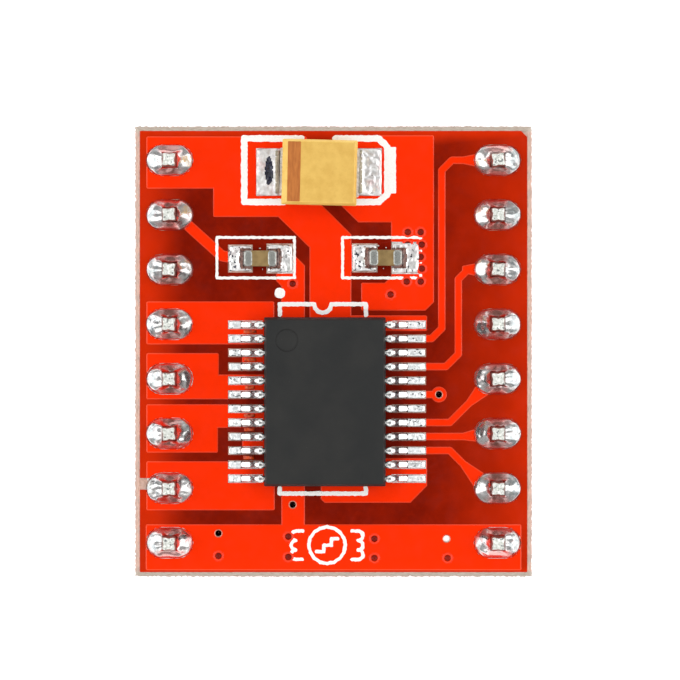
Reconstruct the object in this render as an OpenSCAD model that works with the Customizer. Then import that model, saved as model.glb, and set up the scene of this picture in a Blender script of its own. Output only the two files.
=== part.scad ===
// Dual H-bridge stepper driver module: a two-layer board that stands on two rows of header pins.
// Millimetres, +Z up. The origin is at the centre of the board, on the surface that the pin tips touch.
// Seen from above, pin 1 of the driver is at the top left, -X is the motor side and +X the logic side.

/* [Board] */
// Width across the two pin rows
board_w = 18.5; // [18.4:0.1:22]
// Length along the pin rows
board_l = 21; // [20.8:0.1:24]
// Thickness of the bare glass-epoxy laminate
core_t = 1.5; // [1:0.1:2]
// Depth of the scoring groove that each edge was snapped along
score_depth = 0.5; // [0.3:0.05:0.6]
// Width of the sloping face that the scoring groove leaves
score_slope = 0.2; // [0.1:0.05:0.22]
// Bare strip between the board's edge and the solder mask
mask_inset = 0.25; // [0.25:0.05:0.4]

/* [Headers] */
// Distance between the two pin rows
row_gap = 15.24; // [15.24:0.01:15.3]
// Side of the square pins
pin_w = 0.64; // [0.6:0.01:0.66]
// Whole length of a pin
pin_len = 11.6; // [11:0.1:12.4]
// Length of the pin below its plastic strip
pin_mate = 6; // [5.5:0.1:7]
// Width of the plastic strip
strip_w = 2.5; // [2.3:0.1:2.6]
// Height of the plastic strip
strip_h = 2.5; // [2:0.1:3]

/* [Driver] */
// Width of the moulded body
driver_w = 5.6; // [5.4:0.1:5.8]
// Length of the moulded body
driver_l = 7.8; // [7.6:0.1:8.2]
// Height of the moulded body
driver_h = 1.3; // [1.2:0.05:1.5]
// Distance between the tips of opposite leads
lead_span = 7.6; // [7.5:0.05:7.8]
// Width of a lead at its foot
lead_w = 0.24; // [0.2:0.01:0.28]
// Thickness of the lead frame
lead_t = 0.15; // [0.12:0.01:0.18]

/* [Capacitors] */
// Length of the tantalum capacitor's case
tantalum_l = 3.45; // [3.3:0.05:3.6]
// Width of the tantalum capacitor's case
tantalum_w = 3; // [2.8:0.05:3.1]
// Height of the tantalum capacitor
tantalum_h = 1.9; // [1.7:0.05:2]
// Length of a ceramic capacitor
ceramic_l = 1.55; // [1.5:0.05:1.65]
// Width and height of a ceramic capacitor
ceramic_w = 0.78; // [0.7:0.02:0.9]

/* [Hidden] */
$fn = 48;
EPS = 0.01;
ROW_PINS = 8;
PITCH = 2.54;
ROW_X = row_gap / 2;
SIDES = ["left", "right"];

// Levels of the board's layers, from the bottom mask up
copper_t = 0.035;
mask_over_copper = 0.025;
ink_t = 0.015;
z_strip = pin_mate;
z_bottom = pin_mate + strip_h;
z_bottom_copper = z_bottom + mask_over_copper;
z_core = z_bottom_copper + copper_t;
z_core_top = z_core + core_t;
z_copper_top = z_core_top + copper_t;
z_mask_top = z_copper_top + mask_over_copper;
z_ink_top = z_mask_top + ink_t;

// Drilled holes and their plating
plating_t = 0.025;
header_hole_r = 0.5;
via_hole_r = 0.15;
via_pad_r = 0.32;
via_cover_r = 0.27;
open_via_r = 0.2;

// Header pads: an open slot in the mask, and a copper pad that is smaller unless it lies in a pour
pad_l = 2.05;
pad_w = 1.3;
pad_clearance = 0.08;
LEFT_IN_POUR = [true, false, false, true, true, true, true, true];
RIGHT_IN_POUR = [false, false, false, false, false, false, false, true];

// Header strips, pins and their solder
cell_notch = 0.4;
pin_taper = 0.5;
pin_tip_w = 0.3;
pin_cut_w = 0.46;
fillet_h = 0.5;
fillet_inset = 0.32;
cone_h = 1;
cone_foot_r = 0.62;
cone_top_r = 0.44;

// Copper outlines on the top layer
mask_spread = 0.05;
etch_r = 0.03;
POUR_LEFT = -8.65;
VM_POUR = [
  [POUR_LEFT, 9.95], [-1.3, 9.95], [-1.3, 7.5], [0.78, 5.42], [0.78, 1.63], [4.3, 1.63], [4.3, 1],
  [1.2, 1], [1.2, -5], [4.3, -5], [4.3, -6.22], [3.55, -6.98], [-0.4, -6.98], [-0.55, -6.83],
  [-0.55, -5.6], [-1.07, -5.1], [-1.07, 4.85], [-2.55, 6.3], [-5.55, 6.3], [-5.55, 7.62],
  [POUR_LEFT, 7.62]
];
GND_POUR = [
  [0.2, 10], [4.62, 10], [4.62, 2.32], [4.25, 1.95], [1.33, 1.95], [1.33, 3.15], [2.4, 3.15],
  [2.72, 3.47], [2.72, 6.05], [1.17, 6.05], [0.2, 7]
];
GND_STRIP = [
  [-2.38, -8.2], [-1.38, -8.2], [-1.38, 3.98], [-1.85, 4.45], [-2, 4.45], [-2.62, 3.75],
  [-2.62, 3.3], [-2.38, 3.05]
];
GND_BASE = [[-8.68, -8.08], [8.68, -8.08], [8.68, -10.12], [-8.68, -10.12]];
A1_POUR = [
  [POUR_LEFT, 2.28], [-2.8, 2.28], [-2.8, 0.95], [-3.05, 0.7], [-3.05, 0.38], [POUR_LEFT, 0.38]
];
A2_POUR = [
  [POUR_LEFT, -0.12], [-5.38, -0.12], [-5.38, -1.12], [-3.05, -1.12], [-3.05, -2.17],
  [POUR_LEFT, -2.17]
];
B2_POUR = [
  [POUR_LEFT, -2.5], [-3.05, -2.5], [-3.05, -3.5], [-5.42, -3.5], [-5.42, -4.65],
  [POUR_LEFT, -4.65]
];
B1_POUR = [
  [POUR_LEFT, -5.15], [-3.05, -5.15], [-3.05, -5.9], [-2.78, -6.15], [-2.78, -7.33],
  [POUR_LEFT, -7.33]
];
MOTOR_PAD_LINK = [[0.7, 3.75], [1, 4.95]];
GROUND_LINKS = [[[-4.2, -0.75], [-2.3, 0]], [[-4.2, -4.65], [-2.3, -3.9]]];
track_w = 0.25;
SUPPLY_TRACK_W = 0.42;
TOP_TRACKS = [
  [[3.9, 0.6], [4.55, 0.6], [5.03, 1.08], [5.03, 8.42], [5.5, 8.89], [7.62, 8.89]],
  [[3.9, -0.7], [5.22, -0.7], [5.8, -0.12], [5.8, 3.36], [6.25, 3.81], [7.62, 3.81]],
  [[3.9, -2], [4.9, -2]],
  [[3.9, -3.3], [5.4, -3.3], [7.43, -1.27]],
  [[3.9, -3.95], [6.2, -3.95], [7.62, -3.81]],
  [[3.9, -4.6], [5.4, -4.6], [7.15, -6.35]],
  [[3.2, -0.05], [1.95, -0.05]],
  [[3.2, -1.35], [1.95, -1.35]],
  [[3.2, -2.65], [1.95, -2.65]]
];
SUPPLY_TRACK = [[-7.3, 6.35], [-5.2, 4.45], [-4.4, 4.3]];
// Where a track widens into its header pad: the end of the track and the direction that it comes from
teardrop = [1.6, 0.9];
TEARDROPS = [
  [[7.62, 8.89], 180], [[7.62, 3.81], 180], [[7.43, -1.27], 225], [[7.62, -3.81], 185],
  [[7.15, -6.35], 135]
];
BOTTOM_TRACKS = [
  [[1.95, -0.05], [1.95, 1.2], [7.1, 6.35], [7.62, 6.35]],
  [[4.9, -2], [4.9, -1.45], [7.62, 1.27]],
  [[1.95, -1.35], [0.9, -1.35], [-6.8, 6.35], [-7.62, 6.35]]
];
BOTTOM_POUR_EDGE = 0.6;
pour_clearance = 0.25;

// Plated vias: some have an open mask on top, one of them is open below too, and the mask covers the rest
THROUGH_VIA = [5.25, -8.7];
OPEN_VIAS = [[4.9, -2], [-5.35, -8.45], [-1.9, -7.12], THROUGH_VIA];
COVERED_VIAS = [
  [-5.35, -9.5], [-2.1, -8.6], [-2.1, -9.55], [1.9, -8.7], [1.9, -9.6], [5.3, -9.6], [3.45, 5.55],
  [4.05, 5.55], [3.45, 4.97], [4.1, 4.97], [4.05, 4.4], [4.1, 3.85], [3.4, 3.25], [4.05, 3.25],
  [2.65, 2.65], [-1.9, 3.15], [1.95, -0.05], [1.95, -1.35], [1.95, -2.65], [-1.9, -0.4], [-1.9, -4.3]
];
VIAS = concat(OPEN_VIAS, COVERED_VIAS);

// Driver: a 24-lead package on a 0.65 mm pitch, placed a little to the left of its pads
DRIVER_AT = [-0.4, -2.33];
DRIVER_PADS_AT = [-0.3, -2.33];
LEADS = 12;
LEAD_PITCH = 0.65;
LEAD_IN_POUR = [
  [true, true, false, false, true, true, true, true, false, false, true, true],
  [true, false, false, false, false, false, false, false, false, false, true, true]
];
lead_pad_l = 1.5;
lead_pad_w = 0.3;
lead_pad_end = 4.55;
lead_clearance = 0.05;
solder_t = 0.02;
lead_standoff = 0.1;
shoulder_w = 0.32;
shoulder_end = 3.15;
bend_r = 0.15;
bend_angle = 80;
finger_start = 1.7;
draft = 8;
z_foot = z_copper_top + solder_t;
z_driver = z_foot + lead_standoff;
z_lead = z_driver + driver_h / 2;
z_driver_top = z_driver + driver_h;
die_pad = [2.7, 4.8, lead_t];
die = [2, 3.4, 0.25];
die_attach_t = 0.03;
z_die_pad = z_lead - lead_t / 2;
z_die = z_die_pad + lead_t + die_attach_t;
wire_r = 0.02;
wire_sides = 6;
wire_steps = 6;
wire_loop = 0.16;
dimple_r = 0.5;
dimple_depth = 0.05;
DIMPLE_AT = [-1.75, 2.85];
wire_inset = 0.15;
wire_spread = 0.4;
toe_t = 0.03;
toe_knee = [0.1, 0.12];
toe_rise = 0.9;

// Tantalum capacitor, placed a little askew
TANTALUM_AT = [-0.65, 8.3];
TANTALUM_TURN = -1.3;
tantalum_draft = 5;
terminal_t = 0.1;
terminal_w = 2.2;
terminal_foot = 0.8;
terminal_tab = 0.5;
anode_chamfer = 0.15;
band_w = 0.6;
band_margin = 0.02;
pellet = [2.2, 2.1, 1.2];
PELLET_X = 0.1;
anode_wire_r = 0.1;
adhesive = [1.8, 0.6];
pad_solder_knee = [0.25, 0.14];
pad_solder_edge = 0.04;
tantalum_climb = 0.7;
ceramic_climb = 0.5;
ceramic_pad_rim = 0.1;
TANTALUM_PADS = [[-2.75, 1.7], [1.45, 1.6]];
tantalum_pad_w = 2.22;
tantalum_pad_y = 8.34;
z_tantalum = z_copper_top + solder_t;
tantalum_lean = tantalum_h / 2 * tan(tantalum_draft);

// Ceramic capacitors: each has its centre, then its two pads as [x, length, width]
LOGIC_AT = [-3.4, 4.32];
MOTOR_AT = [2.42, 4.35];
LOGIC_PADS = [[-4.33, 1.05, 1.2], [-2.5, 1.15, 1.3]];
MOTOR_PADS = [[1.45, 1.1, 1.25], [3.35, 1.25, 1.4]];
ceramic_end = 0.4;
ceramic_wall = 0.02;
electrodes = 8;
electrode_t = 0.02;
electrode_gap = 0.25;
electrode_inset = 0.1;
ceramic_core_l = ceramic_l - 2 * ceramic_wall;
ceramic_core_w = ceramic_w - 2 * ceramic_wall;
z_ceramic = z_copper_top + solder_t;

// Ink: line widths, the driver's notch and dot, and the gap kept round vias
FINE_LINE = 0.13;
DRIVER_LINE = 0.2;
THICK_LINE = 0.3;
NOTCH_AT = [-0.5, 2.2];
notch_r = 0.4;
DOT_AT = [-2.5, 2.72];
dot_r = 0.25;
via_ink_gap_r = 0.24;

// The motor sign: a ring, a step inside it, and a coil on each side
MARK_AT = [-0.3, -9];
MARK_LINE = 0.16;
ring_r = 0.85;
coil_r = 0.22;
coil_x = 1.45;
coil_lead = 0.3;
MARK_STEP = [[-0.5, -0.3], [-0.15, -0.3], [-0.15, 0], [0.2, 0], [0.2, 0.3], [0.5, 0.3]];

// Blank label bars on the underside, and the line beside them
LABEL_BAR = [1.7, 0.45];
label_inset = 2.6;
label_line_inset = 1.6;
label_line_reach = 1.2;

// Where the mask is missing on this board: a corner, and a scrape from one pad to the edge
MASK_CORNER = 0.4;
SCRAPE = [[-9.1, -6.42], [-8.5, -5.88]];

function row_y(i) = ((ROW_PINS + 1) / 2 - i) * PITCH;
function side_x(s) = s == "left" ? -ROW_X : ROW_X;
function side_sign(s) = s == "left" ? -1 : 1;
function in_pour(s) = s == "left" ? LEFT_IN_POUR : RIGHT_IN_POUR;
function lead_y(i) = (i - (LEADS - 1) / 2) * LEAD_PITCH;
function top_down(i) = LEADS - 1 - i;

// ---- Helpers ----

module slab(z0, z1) {
  translate([0, 0, z0]) linear_extrude(z1 - z0) children();
}

// Corners as etching and developing leave them: outer ones slightly round
module etched() {
  offset(r = etch_r, $fn = 16) offset(delta = -etch_r) children();
}

module obround(length, width) {
  square([length - width, width], center = true);
  for (x = [-1, 1]) translate([x * (length - width) / 2, 0]) circle(d = width);
}

module segment(a, b, w) {
  translate(a) rotate(atan2(b.y - a.y, b.x - a.x)) translate([0, -w / 2]) square([norm(b - a), w]);
}

module track(points, w) {
  for (i = [0:len(points) - 2]) segment(points[i], points[i + 1], w);
  for (p = points) translate(p) circle(d = w, $fn = 16);
}

module rectangle(low, high) {
  translate(low) square(high - low);
}

module discs(places, r) {
  for (p = places) translate(p) circle(r = r, $fn = 24);
}

module at_row(s) {
  for (i = [1:ROW_PINS]) translate([side_x(s), row_y(i)]) children();
}

module at_each_pin() {
  for (s = SIDES) at_row(s) children();
}

// ---- Board layers, in outline ----

module board_outline(inset) {
  square([board_w - 2 * inset, board_l - 2 * inset], center = true);
}

module header_pads(grow = 0) {
  at_each_pin() obround(pad_l + 2 * grow, pad_w + 2 * grow);
}

module lead_pads(grow = 0) {
  for (side = [-1, 1], i = [0:LEADS - 1])
    translate(DRIVER_PADS_AT + [side * (lead_pad_end - lead_pad_l / 2), lead_y(i)])
      square([lead_pad_l + 2 * grow, lead_pad_w + 2 * grow], center = true);
}

module tantalum_pads(grow = 0) {
  for (p = TANTALUM_PADS)
    translate([p[0], tantalum_pad_y])
      square([p[1] + 2 * grow, tantalum_pad_w + 2 * grow], center = true);
}

module ceramic_pads(at, pads, grow = 0) {
  for (p = pads)
    translate([p[0], at.y]) square([p[1] + 2 * grow, p[2] + 2 * grow], center = true);
}

module teardrops() {
  wide = teardrop.y / 2;
  thin = track_w / 2;
  for (t = TEARDROPS)
    translate(t[0]) rotate(t[1]) polygon([[0, -wide], [teardrop.x, -thin], [teardrop.x, thin], [0, wide]]);
}

module top_copper_outline() {
  etched() {
    for (p = [VM_POUR, GND_POUR, GND_STRIP, GND_BASE, A1_POUR, A2_POUR, B2_POUR, B1_POUR]) polygon(p);
    for (r = GROUND_LINKS) rectangle(r[0], r[1]);
    for (t = TOP_TRACKS) track(t, track_w);
    track(SUPPLY_TRACK, SUPPLY_TRACK_W);
    teardrops();
    header_pads();
    lead_pads();
    tantalum_pads(lead_clearance);
    ceramic_pads(LOGIC_AT, LOGIC_PADS);
    ceramic_pads(MOTOR_AT, MOTOR_PADS);
    rectangle(MOTOR_PAD_LINK[0], MOTOR_PAD_LINK[1]);
    discs(VIAS, via_pad_r);
  }
}

module bottom_signals() {
  for (t = BOTTOM_TRACKS) track(t, track_w);
  for (s = SIDES, i = [1:ROW_PINS])
    if (!is_ground(s, i)) translate([side_x(s), row_y(i)]) obround(pad_l, pad_w);
  discs([[4.9, -2], [1.95, -0.05], [1.95, -1.35]], via_pad_r);
}

function is_ground(s, i) = s == "left" ? (i == 3 || i == 8) : i == 8;

module bottom_copper_outline() {
  etched() {
    difference() {
      board_outline(BOTTOM_POUR_EDGE);
      offset(delta = pour_clearance) bottom_signals();
    }
    bottom_signals();
  }
}

module drill_discs() {
  at_each_pin() circle(r = header_hole_r + plating_t);
  discs(VIAS, via_hole_r + plating_t);
}

module mask_outline() {
  difference() {
    board_outline(mask_inset);
    translate([board_w, board_l] / 2 - [mask_inset, mask_inset]) rotate(45)
      square(MASK_CORNER, center = true);
  }
}

module top_openings() {
  header_pads(pad_clearance);
  lead_pads(lead_clearance);
  difference() {
    union() {
      tantalum_pads();
      ceramic_pads(LOGIC_AT, LOGIC_PADS, lead_clearance);
      ceramic_pads(MOTOR_AT, MOTOR_PADS, lead_clearance);
    }
    discs(COVERED_VIAS, via_cover_r);
  }
  discs(OPEN_VIAS, open_via_r);
  rectangle(SCRAPE[0], SCRAPE[1]);
}

module bottom_openings() {
  header_pads(pad_clearance);
  discs([THROUGH_VIA], open_via_r);
}

// The mask fills up to the copper's level, then rises over the copper and a little way round it.
module mask(z_filled_from, z_filled_to, z_raised_from, z_raised_to) {
  slab(z_filled_from, z_filled_to) etched() difference() {
    mask_outline();
    children(0);
    children(1);
  }
  slab(z_raised_from, z_raised_to) etched() difference() {
    intersection() {
      mask_outline();
      offset(delta = mask_spread) children(0);
    }
    children(1);
  }
}

// Ink lies on the raised mask, and fills down to the lower mask beside it.
module ink(z_low, z_mask, z_ink) {
  slab(min(z_low, z_mask), max(z_low, z_mask)) etched() difference() {
    children(0);
    offset(delta = mask_spread) children(1);
  }
  slab(min(z_mask, z_ink), max(z_mask, z_ink)) etched() children(0);
}

// ---- Silkscreen ----

module line_box(low, high, w) {
  track([low, [low.x, high.y], high, [high.x, low.y], low], w);
}

module driver_marks() {
  low = [-2.5, -6.6];
  high = [1.5, 2.2];
  notch = [for (a = [0:-30:-180]) NOTCH_AT + notch_r * [cos(a), sin(a)]];
  track(concat([[high.x, 1.7], high], notch, [[low.x, high.y], [low.x, 1.7]]), DRIVER_LINE);
  track([[low.x, -6.35], low, [high.x, low.y], [high.x, -6.35]], DRIVER_LINE);
  translate(DOT_AT) circle(r = dot_r, $fn = 24);
}

module tantalum_marks() {
  track([[-1.5, 9.9], [-4.15, 9.9], [-4.15, 6.95], [-2.3, 6.95]], THICK_LINE);
  track([[0.1, 9.9], [2.1, 9.9], [2.5, 9.5], [2.5, 7.3], [2.1, 6.95], [0.9, 6.95]], THICK_LINE);
  rectangle([2.4, 7.35], [2.9, 9.5]);
}

module ceramic_marks() {
  line_box([-5.42, 3.42], [-1.82, 5.3], FINE_LINE);
  line_box([0.42, 3.42], [4.05, 5.3], FINE_LINE);
}

// A coil of three turns, which opens towards the ring
module coil_mark(side) {
  turns = [
    for (k = [1, 0, -1], a = [90:-30:-90])
      [side * (coil_x + coil_r * cos(a)), 2 * coil_r * k + coil_r * sin(a)]
  ];
  track(turns, MARK_LINE);
  for (y = [-3, 3] * coil_r) track([[side * coil_x, y], [side * (coil_x - coil_lead), y]], MARK_LINE);
}

// A generic sign for a two-winding motor, with no lettering
module motor_mark() {
  translate(MARK_AT) {
    difference() {
      circle(r = ring_r + MARK_LINE / 2);
      circle(r = ring_r - MARK_LINE / 2);
    }
    track(MARK_STEP, MARK_LINE);
    for (side = [-1, 1]) coil_mark(side);
  }
}

module top_marks() {
  difference() {
    union() {
      driver_marks();
      tantalum_marks();
      ceramic_marks();
      motor_mark();
    }
    top_openings();
    discs(VIAS, via_ink_gap_r);
  }
}

// Blank label bars, one beside each pin, and a line along each row
module bottom_marks() {
  difference() {
    for (s = SIDES) {
      at_row(s) translate([side_sign(s) * -label_inset, 0]) square(LABEL_BAR, center = true);
      x = side_x(s) - side_sign(s) * label_line_inset;
      track([[x, row_y(1) + label_line_reach], [x, row_y(ROW_PINS) - label_line_reach]], FINE_LINE);
    }
    discs(VIAS, via_ink_gap_r);
  }
}

// ---- Board ----

module scored_profile(width) {
  slope_x = width / 2 - score_slope;
  polygon([
    [-slope_x, 0], [slope_x, 0], [width / 2, score_depth], [width / 2, core_t - score_depth],
    [slope_x, core_t], [-slope_x, core_t], [-width / 2, core_t - score_depth], [-width / 2, score_depth]
  ]);
}

module laminate() {
  color("tan") difference() {
    translate([0, 0, z_core]) intersection() {
      translate([0, board_l / 2 + EPS, 0]) rotate([90, 0, 0])
        linear_extrude(board_l + 2 * EPS) scored_profile(board_w);
      translate([-board_w / 2 - EPS, 0, 0]) rotate([90, 0, 90])
        linear_extrude(board_w + 2 * EPS) scored_profile(board_l);
    }
    slab(z_core - EPS, z_core_top + EPS) drill_discs();
  }
}

module top_copper() {
  color("goldenrod") slab(z_core_top, z_copper_top) difference() {
    top_copper_outline();
    drill_discs();
  }
}

module bottom_copper() {
  color("goldenrod") slab(z_bottom_copper, z_core) difference() {
    bottom_copper_outline();
    drill_discs();
  }
}

module barrel(r) {
  translate([0, 0, z_bottom_copper]) difference() {
    cylinder(r = r + plating_t, h = z_copper_top - z_bottom_copper);
    translate([0, 0, -EPS]) cylinder(r = r, h = z_copper_top - z_bottom_copper + 2 * EPS);
  }
}

module header_hole_plating() {
  color("silver") at_each_pin() barrel(header_hole_r);
}

module via_plating() {
  color("silver") for (p = VIAS) translate(p) barrel(via_hole_r);
}

module top_solder_mask() {
  color("orangered") mask(z_core_top, z_copper_top, z_copper_top, z_mask_top) {
    top_copper_outline();
    top_openings();
  }
}

module bottom_solder_mask() {
  color("orangered") mask(z_bottom_copper, z_core, z_bottom, z_bottom_copper) {
    bottom_copper_outline();
    bottom_openings();
  }
}

module top_silkscreen() {
  color("white") ink(z_copper_top, z_mask_top, z_ink_top) {
    top_marks();
    top_copper_outline();
  }
}

module bottom_silkscreen() {
  color("white") ink(z_bottom_copper, z_bottom, z_bottom - ink_t) {
    bottom_marks();
    bottom_copper_outline();
  }
}

// ---- Headers ----

module cell_outline() {
  x = strip_w / 2;
  y = PITCH / 2;
  polygon([
    [-x, -y + cell_notch], [-x + cell_notch, -y], [x - cell_notch, -y], [x, -y + cell_notch],
    [x, y - cell_notch], [x - cell_notch, y], [-x + cell_notch, y], [-x, y - cell_notch]
  ]);
}

module header_strip(s) {
  color("dimgray") slab(z_strip, z_bottom) difference() {
    at_row(s) cell_outline();
    at_row(s) square(pin_w, center = true);
  }
}

module pin_profile() {
  shoulder = pin_w / 2;
  tip = pin_tip_w / 2;
  cut = pin_cut_w / 2;
  polygon([
    [-tip, 0], [tip, 0], [shoulder, pin_taper], [shoulder, pin_len - pin_taper / 2],
    [cut, pin_len], [-cut, pin_len], [-shoulder, pin_len - pin_taper / 2],
    [-shoulder, pin_taper]
  ]);
}

// A square pin with both ends tapered on all four sides
module pin_shape() {
  intersection() {
    translate([0, pin_w / 2, 0]) rotate([90, 0, 0]) linear_extrude(pin_w) pin_profile();
    translate([-pin_w / 2, 0, 0]) rotate([90, 0, 90]) linear_extrude(pin_w) pin_profile();
  }
}

module header_pin(s, i) {
  color("gainsboro") translate([side_x(s), row_y(i)]) pin_shape();
}

// An obround whose sides all lean in by the same amount
module leaning_obround(length, width, inset, height) {
  reach = (length - width) / 2;
  r = width / 2;
  for (x = [-reach, reach]) translate([x, 0, 0]) cylinder(r1 = r, r2 = r - inset, h = height);
  rotate([90, 0, 90]) linear_extrude(2 * reach, center = true)
    polygon([[-r, 0], [r, 0], [r - inset, height], [inset - r, height]]);
}

// Solder that fills the plated hole round the pin and rises up the pin as a cone
module pin_joint(wide) {
  $fn = 80;
  grow = wide ? pad_clearance : 0;
  difference() {
    union() {
      translate([0, 0, z_bottom_copper])
        cylinder(r = header_hole_r, h = z_copper_top - z_bottom_copper + EPS);
      translate([0, 0, z_copper_top]) {
        leaning_obround(pad_l + 2 * grow, pad_w + 2 * grow, fillet_inset, fillet_h);
        cylinder(r1 = cone_foot_r, r2 = cone_top_r, h = cone_h);
      }
    }
    translate([0, 0, z_bottom_copper - 1]) linear_extrude(pin_len) square(pin_w, center = true);
  }
}

module header_solder(s) {
  color("silver") for (i = [1:ROW_PINS]) translate([side_x(s), row_y(i)]) pin_joint(in_pour(s)[i - 1]);
}

// ---- Driver ----

module two_way_taper(length, width, height, angle) {
  lean = height / 2 * tan(angle);
  module profile(w) {
    polygon([
      [-w / 2 + lean, 0], [w / 2 - lean, 0], [w / 2, height / 2], [w / 2 - lean, height],
      [-w / 2 + lean, height], [-w / 2, height / 2]
    ]);
  }
  intersection() {
    translate([0, width / 2 + EPS, 0]) rotate([90, 0, 0])
      linear_extrude(width + 2 * EPS) profile(length);
    translate([-length / 2 - EPS, 0, 0]) rotate([90, 0, 90])
      linear_extrude(length + 2 * EPS) profile(width);
  }
}

function arc_points(centre, r, from, to, steps) =
  [for (i = [0:steps]) let (a = from + (to - from) * i / steps) centre + r * [cos(a), sin(a)]];

// One lead in profile, x away from the package and y up, with the two bends of a gull wing
module lead_profile() {
  drop = z_lead - z_foot - lead_t / 2;
  bend_x = bend_r * sin(bend_angle);
  bend_y = bend_r * (1 - cos(bend_angle));
  fall = drop - 2 * bend_y;
  run = fall / tan(bend_angle);
  upper = [shoulder_end, z_lead - bend_r];
  lower = [shoulder_end + 2 * bend_x + run, z_foot + lead_t / 2 + bend_r];
  half = lead_t / 2;
  polygon(concat(
    [[finger_start, z_lead + half]],
    arc_points(upper, bend_r + half, 90, 90 - bend_angle, 6),
    arc_points(lower, bend_r - half, 270 - bend_angle, 270, 6),
    [[lead_span / 2, z_foot + lead_t], [lead_span / 2, z_foot]],
    arc_points(lower, bend_r + half, 270, 270 - bend_angle, 6),
    arc_points(upper, bend_r - half, 90 - bend_angle, 90, 6),
    [[finger_start, z_lead - half]]
  ));
}

module lead() {
  rotate([90, 0, 0]) linear_extrude(lead_w, center = true) lead_profile();
  translate([finger_start, -shoulder_w / 2, z_lead - lead_t / 2])
    cube([shoulder_end - finger_start, shoulder_w, lead_t]);
}

// The leads of one side, at their places
module lead_row(s) {
  translate(DRIVER_AT) mirror([s == "left" ? 1 : 0, 0, 0])
    for (i = [0:LEADS - 1]) translate([0, lead_y(i), 0]) lead();
}

module driver_leads(s) {
  color("gainsboro") lead_row(s);
}

module die_pad_block() {
  translate([DRIVER_AT.x - die_pad.x / 2, DRIVER_AT.y - die_pad.y / 2, z_die_pad]) cube(die_pad);
}

module die_block() {
  translate([DRIVER_AT.x - die.x / 2, DRIVER_AT.y - die.y / 2, z_die]) cube(die);
}

module die_attach_block() {
  translate([DRIVER_AT.x - die.x / 2, DRIVER_AT.y - die.y / 2, z_die_pad + lead_t])
    cube([die.x, die.y, die_attach_t]);
}

// A wire's centreline: a low arch from the die's edge out to the tip of a lead
function wire_path(side, i) =
  let (
    start = [side * (die.x / 2 - wire_inset), lead_y(i) * wire_spread, z_die + die.z + wire_r],
    end = [side * (finger_start + wire_inset), lead_y(i), z_lead + lead_t / 2 + wire_r]
  )
  [
    for (k = [0:wire_steps])
      let (t = k / wire_steps) start + (end - start) * t + [0, 0, wire_loop * sin(180 * t)]
  ];

// A closed tube of small polygons, each square to the wire's direction
module wire(path) {
  n = len(path);
  rings = [
    for (k = [0:n - 1])
      let (
        ahead = path[min(k + 1, n - 1)] - path[max(k - 1, 0)],
        along = ahead / norm(ahead),
        flat = cross(along, [0, 0, 1]),
        u = flat / norm(flat),
        v = cross(u, along)
      )
      for (j = [0:wire_sides - 1])
        let (a = 360 * j / wire_sides) path[k] + wire_r * (cos(a) * u + sin(a) * v)
  ];
  sides = [
    for (k = [0:n - 2], j = [0:wire_sides - 1])
      let (a = k * wire_sides + j, b = k * wire_sides + (j + 1) % wire_sides)
      [a, b, b + wire_sides, a + wire_sides]
  ];
  start = [for (j = [wire_sides - 1:-1:0]) j];
  end = [for (j = [0:wire_sides - 1]) (n - 1) * wire_sides + j];
  polyhedron(rings, concat(sides, [start, end]));
}

module bond_wires() {
  translate(DRIVER_AT) for (side = [-1, 1], i = [0:LEADS - 1]) wire(wire_path(side, i));
}

module driver_body() {
  color([0.2, 0.2, 0.2]) difference() {
    translate([DRIVER_AT.x, DRIVER_AT.y, z_driver]) two_way_taper(driver_w, driver_l, driver_h, draft);
    translate([DRIVER_AT.x + DIMPLE_AT.x, DRIVER_AT.y + DIMPLE_AT.y, z_driver_top - dimple_depth])
      cylinder(r = dimple_r, h = 1);
    for (s = SIDES) lead_row(s);
    die_pad_block();
    die_attach_block();
    die_block();
    bond_wires();
  }
}

// Solder under each foot, with a low wedge at its toe. The pad ends this far from the driver's middle.
module lead_joint(pad_end, wide) {
  w = lead_pad_w + (wide ? 2 * lead_clearance : 0);
  toe = pad_end - lead_span / 2 - lead_clearance;
  translate([pad_end - lead_pad_l, -w / 2, z_copper_top]) cube([lead_pad_l, w, solder_t]);
  translate([lead_span / 2, w / 2, z_copper_top]) rotate([90, 0, 0]) linear_extrude(w)
    polygon([[0, 0], [toe, 0], [toe, toe_t], toe_knee, [0, solder_t + lead_t * toe_rise]]);
}

module driver_solder(s) {
  pad_end = lead_pad_end + side_sign(s) * (DRIVER_PADS_AT.x - DRIVER_AT.x);
  color("silver") translate(DRIVER_AT) mirror([s == "left" ? 1 : 0, 0, 0])
    for (i = [0:LEADS - 1]) translate([0, lead_y(top_down(i)), 0])
      lead_joint(pad_end, LEAD_IN_POUR[s == "left" ? 0 : 1][i]);
}

// ---- Tantalum capacitor ----

module at_tantalum() {
  translate([TANTALUM_AT.x, TANTALUM_AT.y, z_tantalum]) rotate(TANTALUM_TURN) children();
}

// A terminal strip: a tab inside the case, down the end face and folded under
module terminal_outline() {
  out = tantalum_l / 2;
  mid = tantalum_h / 2;
  half = terminal_t / 2;
  polygon([
    [out - terminal_tab, mid - half], [out, mid - half], [out, terminal_t],
    [out - terminal_foot, terminal_t], [out - terminal_foot, 0], [out + terminal_t, 0],
    [out + terminal_t, mid + half], [out - terminal_tab, mid + half]
  ]);
}

module terminal(side) {
  mirror([side < 0 ? 1 : 0, 0, 0]) translate([0, terminal_w / 2, 0]) rotate([90, 0, 0])
    linear_extrude(terminal_w) terminal_outline();
}

module pellet_block() {
  translate([PELLET_X - pellet.x / 2, -pellet.y / 2, tantalum_h / 2 - pellet.z / 2]) cube(pellet);
}

module anode_wire_rod() {
  start = -tantalum_l / 2 + terminal_tab;
  translate([start, 0, tantalum_h / 2]) rotate([0, 90, 0])
    cylinder(r = anode_wire_r, h = PELLET_X - pellet.x / 2 - start);
}

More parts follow.
